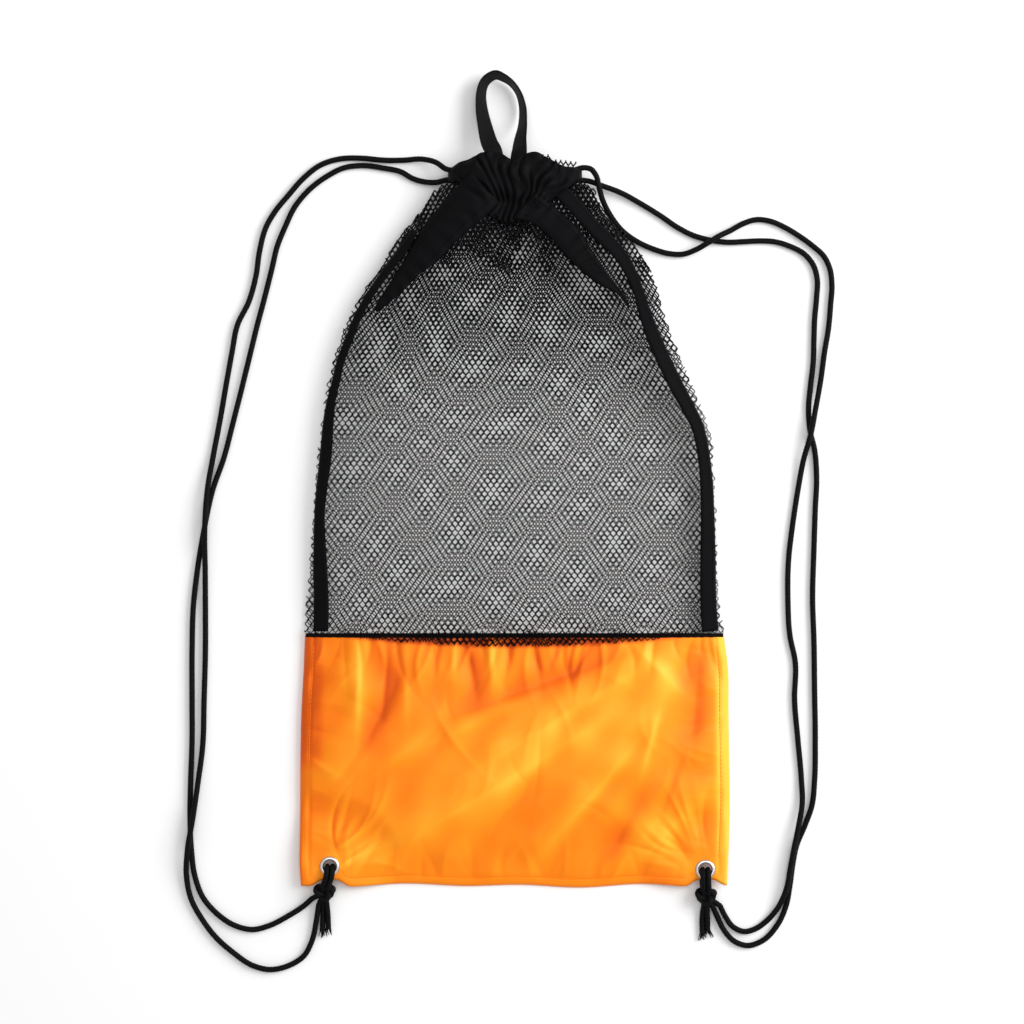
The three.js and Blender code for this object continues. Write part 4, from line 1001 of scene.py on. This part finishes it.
def honeycomb(cell, row, turn, stretch, seed):
    """Both ends of the strands of a honeycomb: each cell gives its two upper slants and its
    right side. The whole is turned, stretched, drawn together towards the neck and warped."""
    slant = 0.72 * row
    upright = (row - slant) / 2
    top = upright + slant
    i, j = np.meshgrid(np.arange(-46, 47), np.arange(-12, 112))
    centre = np.stack([(i + 0.5 * (j % 2)) * cell, j * row - 0.5 * NET_LENGTH], -1).reshape(-1, 2)
    corners = np.array([[[0, top], [cell / 2, upright]], [[0, top], [-cell / 2, upright]],
                        [[cell / 2, -upright], [cell / 2, upright]]])
    ends = (centre[:, None, None] + corners).reshape(-1, 2, 2)
    c, s = math.cos(turn), math.sin(turn)
    u = (ends[..., 0] * c - ends[..., 1] * s) * stretch
    v = (ends[..., 0] * s + ends[..., 1] * c) / stretch + 0.5 * NET_LENGTH
    x = u * mix(1, 0.84, smooth(v, 140, 310)) + 0.5 * waves(u, v, 110, seed)
    y = SEAM_HIGH + v + 0.5 * waves(u, v, 110, seed + 1)
    return x, y


def inside_net(x, y, low):
    """Whether both ends of each strand lie within the net's outline and above a lower edge."""
    half = net_half(x, y)
    return ((np.abs(x) < half + 0.4) & (y > low) & (y < net_top(x) + 4)).all(axis=1)


def knitted(x, y, z, width):
    """Strands of the net between pairs of places, up to half as wide again at the neck, where
    the net is drawn together."""
    ends = np.stack([x, y, z], -1)
    wide = width * (1 + 0.5 * smooth(y.mean(axis=1, keepdims=True), 10, 200))
    return strands(ends[:, 0], ends[:, 1], wide, 0.7 * width, 0.15 * width)


def make_net(cell, row, width, turn, crease, seed):
    """Front and back layer of the net, a few degrees apart, the front doubled where it hangs
    over the pouch, the gathered net between them at the neck and its ragged edge over the hem."""
    creases = pouch_creases(seed)
    parts = []
    for lean, stretch, number, doubled in FRONT_LAYERS:
        x, y = honeycomb(cell, row, lean * turn, stretch, number)
        keep = inside_net(x, y, net_foot(x))
        if doubled:
            keep &= (y < SEAM_HIGH + 2.5).all(axis=1)
        x, y = x[keep], y[keep]
        parts.append(knitted(x, y, over_seam(x, y, creases, crease) + 0.45 * doubled, width))
    points, four, three, _ = join(parts)
    make("net_front", points, (four, three), "black_net", rounded=False,
         replaced=("mesh_body",))
    layers = []
    for lean, number, gathered in BACK_LAYERS:
        x, y = honeycomb(cell, row, lean * turn, 0.99, number)
        start = SEAM_HIGH + 0.5 + gathered * (GATHERED_START + 7 * waves(x, y, 28, seed))
        keep = inside_net(x, y, start)
        x, y = x[keep], y[keep]
        layers.append(knitted(x, y, mix(net_under(x, y), net_over(x, y), 0.5 * gathered), width))
    x, y = honeycomb(cell, row, -0.3 * turn, 0.97, 63)
    top = hem_top(x)
    keep = (x > RAGGED_FROM) & (x < RAGGED_TO) & (y > top - 8)
    keep &= y < top + 0.8 + 2.8 * smooth(x, 16, 30) + 1.2 * waves(x, y, 15, 4)
    x, y = x[keep.all(axis=1)], y[keep.all(axis=1)]
    layers.append(knitted(x, y, 20 + 2 * waves(x, y, 24, 3), width))
    points, four, three, _ = join(layers)
    make("net_back", points, (four, three), "black_net", rounded=False)


def hem_over(x, y, pleats, rise):
    """Height of the hem's outside at a place, falling to 0 below its lower edge."""
    low = net_top(x) - 0.5
    along = (y - low) / (hem_top(x) - low)
    place = np.clip(x / HEM_HALF, -0.98, 0.98)
    upper = hem_surface(place, np.clip(along, 0, 1), pleats, rise, False)[0][..., 2]
    return upper * smooth(along, -0.15, 0.02) * (1 - smooth(np.abs(x), HEM_HALF - 3, HEM_HALF))


def strip(left, right, cloth, pucker, pitch, over=None):
    """Cloth strip on the net between two edges: its height is the net's plus a gap, with
    puckers of a given height and pitch along it, and rounded edges. It dives under the hem
    or, with the hem's pleats and their rise, passes over it."""
    columns = 11
    share = np.linspace(0, 1, columns)
    flat = left[:, None] + (right - left)[:, None] * share[None, :, None]
    x, y = flat[..., 0], flat[..., 1]
    middle = (left + right) / 2
    way = distances(middle)[:, None]
    bump = pucker * np.sin(math.tau * way / pitch + 2.5 * waves(x, y, 45, 9)) * (0.5 + share)
    base = net_over(x, y) + 1.0 + bump - 3 * smooth(y - net_top(x), -3, 6)
    if over:
        base = np.maximum(base, hem_over(x, y, *over) + 0.5)
    thick = cloth * np.sqrt(1 - (2 * share - 1) ** 8) + 0.15
    uv = np.stack(np.broadcast_arrays((share - 0.5) * 10, way), -1)
    upper = np.stack([x, y, base + thick], -1)
    lower = np.stack([x, y, base], -1)
    points, faces = flat_tube(upper, lower)
    return points, faces, np.concatenate([uv, uv[:, ::-1]], axis=1).reshape(-1, 2), upper


def tape_edges(rows, count=150):
    """Left and right edge of a tape: its smoothed centre line and half its width to each side."""
    across, up, width = row_curves(rows / 1000, count)
    line = np.column_stack([across * HALF, SEAM_MIDDLE + up * NET_LENGTH])
    run = unit(np.gradient(line, axis=0))
    side = np.column_stack([run[:, 1], -run[:, 0]]) * (width * TAPE_WIDTH / 2)[:, None]
    return line - side, line + side


def wing_edges(rows, count=90):
    """Left and right edge of one flat end of the drawstring tunnel, smoothed."""
    a, b, c, d = row_curves(rows / 1000, count)
    return [np.column_stack([across * HALF, SEAM_MIDDLE + up * NET_LENGTH])
            for across, up in ((a, b), (c, d))]


def sewn_strips(pleats, rise):
    """Solid's name, piece's name, material and strip of both side tapes and both flat ends of
    the drawstring tunnel."""
    for name, rows in TAPES.items():
        yield name, f"binding_{name[5:]}", "black_binding", strip(*tape_edges(rows), 1.0, 0.16, 19)
    for name, rows in WINGS.items():
        cloth = strip(*wing_edges(rows), 0.9, 0.4, 12, (pleats, rise))
        yield name, f"tunnel_{name[8:]}", "black_cloth", cloth


def make_tapes(pleats, rise):
    """Both side tapes and both flat ends of the drawstring tunnel."""
    for name, piece, look, (points, faces, uv, _) in sewn_strips(pleats, rise):
        make(piece, points, (faces,), look, uv, slot="black_binding", replaced=(name,))


def hem_surface(across, along, pleats, rise, inner):
    """Upper and lower points of the gathered hem. Outside: the table's edges and depth, dented at
    the pinch, with pleats that fan out from it as the sine of the angle. Inside: a throat
    that opens to the cloth's edge at both ends."""
    x = across * HEM_HALF
    low = np.minimum(net_top(x) - 0.5, HEM_START + 2 + 1.1 * np.maximum(0, np.abs(x + 1) - 12))
    high = hem_top(x)
    end = smooth(np.abs(across), 0.78, 1)
    y = mix(low + 3.5 * end, high - 3.5 * end, along)
    dx, dy = x - PINCH[0], y - PINCH[1]
    side, middle = 0.6 * HEM_DEPTH, 0.4 * HEM_DEPTH
    dent = 6.5 * np.exp(-(dy / 11) ** 2 - (dx / 15) ** 2)
    fan = np.arctan2(x + 2, np.abs(dy) + 22)
    fold = np.abs(np.sin(0.5 * pleats * fan + 1.3 * waves(x, y, 34, 14))) ** 0.8
    fold *= 0.75 + 0.35 * waves(x, y, 18, 15)
    fade = 1 - smooth(np.abs(across), 0.8, 1)
    upper = side + (HEM_DEPTH - CLOTH - side) * swell(across) - dent
    upper += rise * (2 * fold - 1) * fade
    upper = upper - 2.2 * smooth(along, 0.8, 1) - 1.5 * (1 - smooth(along, 0, 0.2))
    lower = 0.19 * HEM_DEPTH * np.abs(across) ** 4 + 0.3
    close = np.sqrt(1 - np.clip((np.abs(across) - 0.84) / 0.16, 0, 1) ** 2)
    upper = middle + (upper - middle) * close
    lower = middle - (middle - lower) * close
    if inner:
        gape = np.maximum(smooth(along, 0.55, 1), 1 - smooth(along, 0, 0.35))
        gap = THROAT_GAP * np.sqrt(1 - np.abs(across) ** 2.5)
        x = across * mix(THROAT_HALF, HEM_HALF - 1.4, gape)
        upper = mix(middle + gap, np.maximum(upper - 1.3, middle + 0.05), gape)
        lower = mix(middle - gap, np.minimum(lower + 1.3, middle - 0.05), gape)
    return np.stack([x, y, upper], -1), np.stack([x, y, lower], -1)


def make_hem(pleats, rise):
    """Gathered hem as one closed ring of cloth: outside from the net to the top, inside back."""
    columns = 230
    place = np.linspace(-1, 1, columns)
    place = np.sin(place * math.pi / 2) * 0.35 + place * 0.65
    rings = []
    for inner, steps in ((False, np.linspace(0, 1, 70)), (True, np.linspace(1, 0, 30))):
        for along in steps:
            upper, lower = hem_surface(place, np.full(columns, along), pleats, rise, inner)
            rings.append(np.concatenate([upper, lower[::-1]]))
    points = np.concatenate(rings)
    faces = outward(points, quads(len(rings), 2 * columns, True, True))
    points, four, three = without_doubles(points, faces)
    make("gathered_hem", points, (four, three), "black_cloth", points[:, :2],
         slot="black_binding", replaced=("hem_channel",))


def make_loop():
    """Ribbon loop: a flat section with round edges, carried along its line with its twist."""
    base = HEM_START + HEM_HEIGHT + GAP
    across, up, lift, twist = row_curves(LOOP, 240)
    line = np.column_stack([(across - LOOP_LEFT_LEG) * LOOP_WIDTH + LOOP_SHIFT,
                            base + up * LOOP_HEIGHT, lift * RIBBON_WIDTH])
    run = unit(np.gradient(line, axis=0))
    flat = unit(np.column_stack([run[:, 1], -run[:, 0], np.zeros(len(run))]))
    turn = np.radians(twist)[:, None]
    side = flat * np.cos(turn) + np.cross(run, flat) * np.sin(turn) \
        + run * (run * flat).sum(axis=1)[:, None] * (1 - np.cos(turn))
    up_side = unit(np.cross(run, side))
    share = np.linspace(-1, 1, 15)
    thick = RIBBON_THICK / 2 * (np.sqrt(1 - np.abs(share) ** 10) * 0.75 + 0.2 * np.abs(share) ** 6)
    centre = line[:, None] + side[:, None] * share[:, None] * RIBBON_WIDTH / 2
    way = distances(line)[:, None]
    uv = np.stack(np.broadcast_arrays(share * RIBBON_WIDTH / 2, way), -1)
    points, faces = flat_tube(centre + up_side[:, None] * thick[:, None],
                              centre - up_side[:, None] * thick[:, None])
    make("ribbon_loop", points, (outward(points, faces),), "black_ribbon",
         np.concatenate([uv, uv[:, ::-1]], axis=1).reshape(-1, 2), replaced=("grab_loop",))


def make_eyelets():
    """Two-sided eyelets: a rolled flange, the barrel and the flange below, turned about
    the axis."""
    half = np.array([
        [EYELET_BORE, 0.0], [EYELET_BORE, 1.9], [4.9, 2.4], [5.2, 2.75], [5.7, 2.95], [6.3, 2.9],
        [6.9, 2.6], [EYELET_RIM, 2.15], [7.35, 1.95], [6.6, 1.95], [5.65, 1.9], [5.6, 1.5],
    ])
    below = half[:0:-1] * [1, -1]
    profile = np.concatenate([half, below])
    turn = math.tau * np.arange(72) / 72
    ring = np.stack([np.cos(turn), np.sin(turn)], -1)
    for side, (ex, ey) in EYELETS.items():
        flat = ring[:, None] * profile[None, :, :1]
        height = np.broadcast_to(profile[:, 1], flat.shape[:2])
        points = np.concatenate([flat + [ex, ey], height[..., None] + EYELET_Z], -1).reshape(-1, 3)
        faces = quads(72, len(profile), True, True)
        make(f"eyelet_{side}", points, (outward(points, faces),), "eyelet_metal",
             replaced=(f"grommet_{side}",))


def sew(line, length, width):
    """Stitches along a line: a strand of one stitch's length at every step of length and gap."""
    line = smooth_line(line, 1.0)
    way = distances(line)
    starts = np.arange(1.0, way[-1] - length - 1, length + STITCH_GAP)
    first, second = (np.column_stack([np.interp(s, way, line[:, k]) for k in range(3)])
                     for s in (starts, starts + length))
    return strands(first, second, width, 0.35, 0.0)


def make_stitches(crease, seed, length, pleats, rise):
    """Thread along the pouch's side hems and foot, and along the tapes and tunnel ends."""
    creases = pouch_creases(seed)
    lines = []
    inset = 1 - STITCH_INSET / HALF
    up = np.linspace(0.1, 0.97, 120)
    for sign in (-1, 1):
        x, y, z, *_ = pouch_surface(np.full(120, sign * inset), up, creases, crease)
        lines.append(np.column_stack([x, y, z + 0.1]))
    across = np.linspace(-0.8, 0.82, 160)
    up = np.full(160, STITCH_INSET / POUCH_HEIGHT)
    x, y, z, *_ = pouch_surface(across, up, creases, crease)
    lines.append(np.column_stack([x, y, z + 0.1]))
    parts = [sew(line, length, 0.55) for line in lines]
    points, four, three, _ = join(parts)
    made = make("pouch_stitches", points, (four, three), "orange_cloth", rounded=False)
    tint(made, np.full(len(points), THREAD_TONE))
    parts = []
    for *_, (_, _, _, upper) in sewn_strips(pleats, rise):
        parts += [sew(upper[:, k] + [0, 0, 0.02], length, 0.5) for k in (2, 8)]
    points, four, three, _ = join(parts)
    make("binding_stitches", points, (four, three), "black_binding",
         points[:, :2], rounded=False)


def make_stage():
    """Pale floor, soft daylight all round, a wide lamp overhead and a softer key from the right."""
    floor = bpy.data.meshes.new("floor")
    corners = ((-1, -1), (1, -1), (1, 1), (-1, 1))
    floor.from_pydata([(FLOOR_HALF * x, FLOOR_HALF * y, FLOOR_HEIGHT) for x, y in corners], [],
                      [(0, 1, 2, 3)])
    paint = bpy.data.materials.new("floor_paint")
    paint.use_nodes = True
    shader = find(paint.node_tree.nodes, "BSDF_PRINCIPLED")
    shader.inputs["Base Color"].default_value = (FLOOR_WHITE, FLOOR_WHITE, FLOOR_WHITE, 1)
    shader.inputs["Roughness"].default_value = 0.9
    shader.inputs["Specular IOR Level"].default_value = 0.1
    floor.materials.append(paint)
    add_object("floor", floor)
    for name, place, size, power in LAMPS:
        data = bpy.data.lights.new(name, "AREA")
        data.size, data.energy = size, power
        lamp = add_object(name, data)
        lamp.location = place
        x, y, z = place
        lamp.rotation_euler = (math.atan2(math.hypot(x, y), z), 0, math.atan2(x, -y))
    world = bpy.data.worlds.new("daylight")
    world.use_nodes = True
    sky = find(world.node_tree.nodes, "BACKGROUND")
    sky.inputs["Color"].default_value = (1, 1, 1, 1)
    sky.inputs["Strength"].default_value = DAYLIGHT
    bpy.context.scene.world = world
    bpy.context.scene.view_settings.view_transform = "Standard"


# Add-on

def length_setting(name, description, value):
    """A length in metres, given in millimetres."""
    return FloatProperty(name=name, description=description, default=value * MM, min=0.0,
                         unit="LENGTH", subtype="DISTANCE", precision=5)


def colour_setting(name, description, value):
    """A colour in linear red, green and blue."""
    return FloatVectorProperty(name=name, description=description, default=value, size=3,
                               min=0.0, max=1.0, subtype="COLOR")


class BagSettings(bpy.types.PropertyGroup):
    """Sizes of the net, the creases, the pleats and the thread, and the pouch's colours."""
    cell: length_setting("Net cell", "Width of one cell of the net", 4.63)
    row: length_setting("Net row", "Height from one row of cells to the next", 3.34)
    strand: length_setting("Net strand", "Width of one strand of the net", 0.71)
    turn: FloatProperty(name="Layer turn", description="Angle between the two layers of net",
                        default=math.radians(6.4), subtype="ANGLE", unit="ROTATION")
    crease: FloatProperty(name="Creases", description="Height of the pouch's small creases",
                          default=1.0, min=0.0, max=2.0, subtype="FACTOR")
    seed: IntProperty(name="Crease seed", description="Which set of small creases", default=7)
    pleats: IntProperty(name="Pleats", description="Pleats in a full turn about the pinch",
                        default=39)
    pleat: length_setting("Pleat rise", "Height of the hem's pleats", 1.3)
    stitch: length_setting("Stitch", "Length of one stitch", 2.3)
    deepest: colour_setting("Deepest orange", "Pouch at tone 0", (0.56, 0.06, 0.003))
    deep: colour_setting("Deep orange", "Pouch at tone 0.25", (1.0, 0.16, 0.003))
    plain: colour_setting("Orange", "Pouch at tone 0.5", (1.0, 0.26, 0.005))
    pale: colour_setting("Pale orange", "Pouch at tone 0.75", (1.0, 0.37, 0.014))
    palest: colour_setting("Palest orange", "Pouch at tone 1", (1.0, 0.62, 0.06))


class BAG_OT_camera(bpy.types.Operator):
    """Add the camera above the bag"""
    bl_idname = "bag.camera"
    bl_label = "Camera"

    def execute(self, context):
        make_camera()
        return {"FINISHED"}


class BAG_OT_cords(bpy.types.Operator):
    """Add the drawstring's free runs and knots"""
    bl_idname = "bag.cords"
    bl_label = "Cords and knots"

    def execute(self, context):
        make_cords()
        return {"FINISHED"}


class BAG_OT_pouch(bpy.types.Operator):
    """Add the cloth pouch and its mouth hem"""
    bl_idname = "bag.pouch"
    bl_label = "Pouch"

    def execute(self, context):
        bag = context.scene.bag
        make_pouch(bag.crease, bag.seed)
        make_seam(bag.crease, bag.seed)
        return {"FINISHED"}


class BAG_OT_net(bpy.types.Operator):
    """Add both layers of the net"""
    bl_idname = "bag.net"
    bl_label = "Net"

    def execute(self, context):
        bag = context.scene.bag
        make_net(bag.cell / MM, bag.row / MM, bag.strand / MM, bag.turn, bag.crease, bag.seed)
        return {"FINISHED"}


class BAG_OT_tapes(bpy.types.Operator):
    """Add the binding tapes and the flat ends of the tunnel"""
    bl_idname = "bag.tapes"
    bl_label = "Tapes"

    def execute(self, context):
        make_tapes(context.scene.bag.pleats, context.scene.bag.pleat / MM)
        return {"FINISHED"}


class BAG_OT_hem(bpy.types.Operator):
    """Add the gathered hem"""
    bl_idname = "bag.hem"
    bl_label = "Gathered hem"

    def execute(self, context):
        make_hem(context.scene.bag.pleats, context.scene.bag.pleat / MM)
        return {"FINISHED"}


class BAG_OT_loop(bpy.types.Operator):
    """Add the ribbon loop"""
    bl_idname = "bag.loop"
    bl_label = "Ribbon loop"

    def execute(self, context):
        make_loop()
        return {"FINISHED"}


class BAG_OT_eyelets(bpy.types.Operator):
    """Add the two eyelets"""
    bl_idname = "bag.eyelets"
    bl_label = "Eyelets"

    def execute(self, context):
        make_eyelets()
        return {"FINISHED"}


class BAG_OT_stitches(bpy.types.Operator):
    """Add the stitching of the pouch and the tapes"""
    bl_idname = "bag.stitches"
    bl_label = "Stitches"

    def execute(self, context):
        bag = context.scene.bag
        make_stitches(bag.crease, bag.seed, bag.stitch / MM, bag.pleats, bag.pleat / MM)
        return {"FINISHED"}


class BAG_OT_stage(bpy.types.Operator):
    """Add the floor and the lights"""
    bl_idname = "bag.stage"
    bl_label = "Stage"

    def execute(self, context):
        make_stage()
        return {"FINISHED"}


OPERATORS = (BAG_OT_camera, BAG_OT_cords, BAG_OT_pouch, BAG_OT_net, BAG_OT_tapes, BAG_OT_hem,
             BAG_OT_loop, BAG_OT_eyelets, BAG_OT_stitches, BAG_OT_stage)


class BAG_PT_panel(bpy.types.Panel):
    """Sizes and steps of the bag"""
    bl_idname = "BAG_PT_panel"
    bl_label = "Gear Bag"
    bl_space_type = "VIEW_3D"
    bl_region_type = "UI"
    bl_category = "Gear Bag"

    def draw(self, context):
        for name in BagSettings.__annotations__:
            self.layout.prop(context.scene.bag, name)
        for operator in OPERATORS:
            self.layout.operator(operator.bl_idname)


CLASSES = (BagSettings, *OPERATORS, BAG_PT_panel)


def register():
    """Register the classes and the scene's bag settings."""
    for each in CLASSES:
        bpy.utils.register_class(each)
    bpy.types.Scene.bag = PointerProperty(type=BagSettings)


def unregister():
    """Take the settings and the classes away again."""
    del bpy.types.Scene.bag
    for each in reversed(CLASSES):
        bpy.utils.unregister_class(each)


def main():
    """Make every piece in order."""
    register()
    bpy.ops.bag.camera()
    bpy.ops.bag.cords()
    bpy.ops.bag.pouch()
    bpy.ops.bag.net()
    bpy.ops.bag.tapes()
    bpy.ops.bag.hem()
    bpy.ops.bag.loop()
    bpy.ops.bag.eyelets()
    bpy.ops.bag.stitches()
    bpy.ops.bag.stage()


if __name__ == "__main__":
    main()
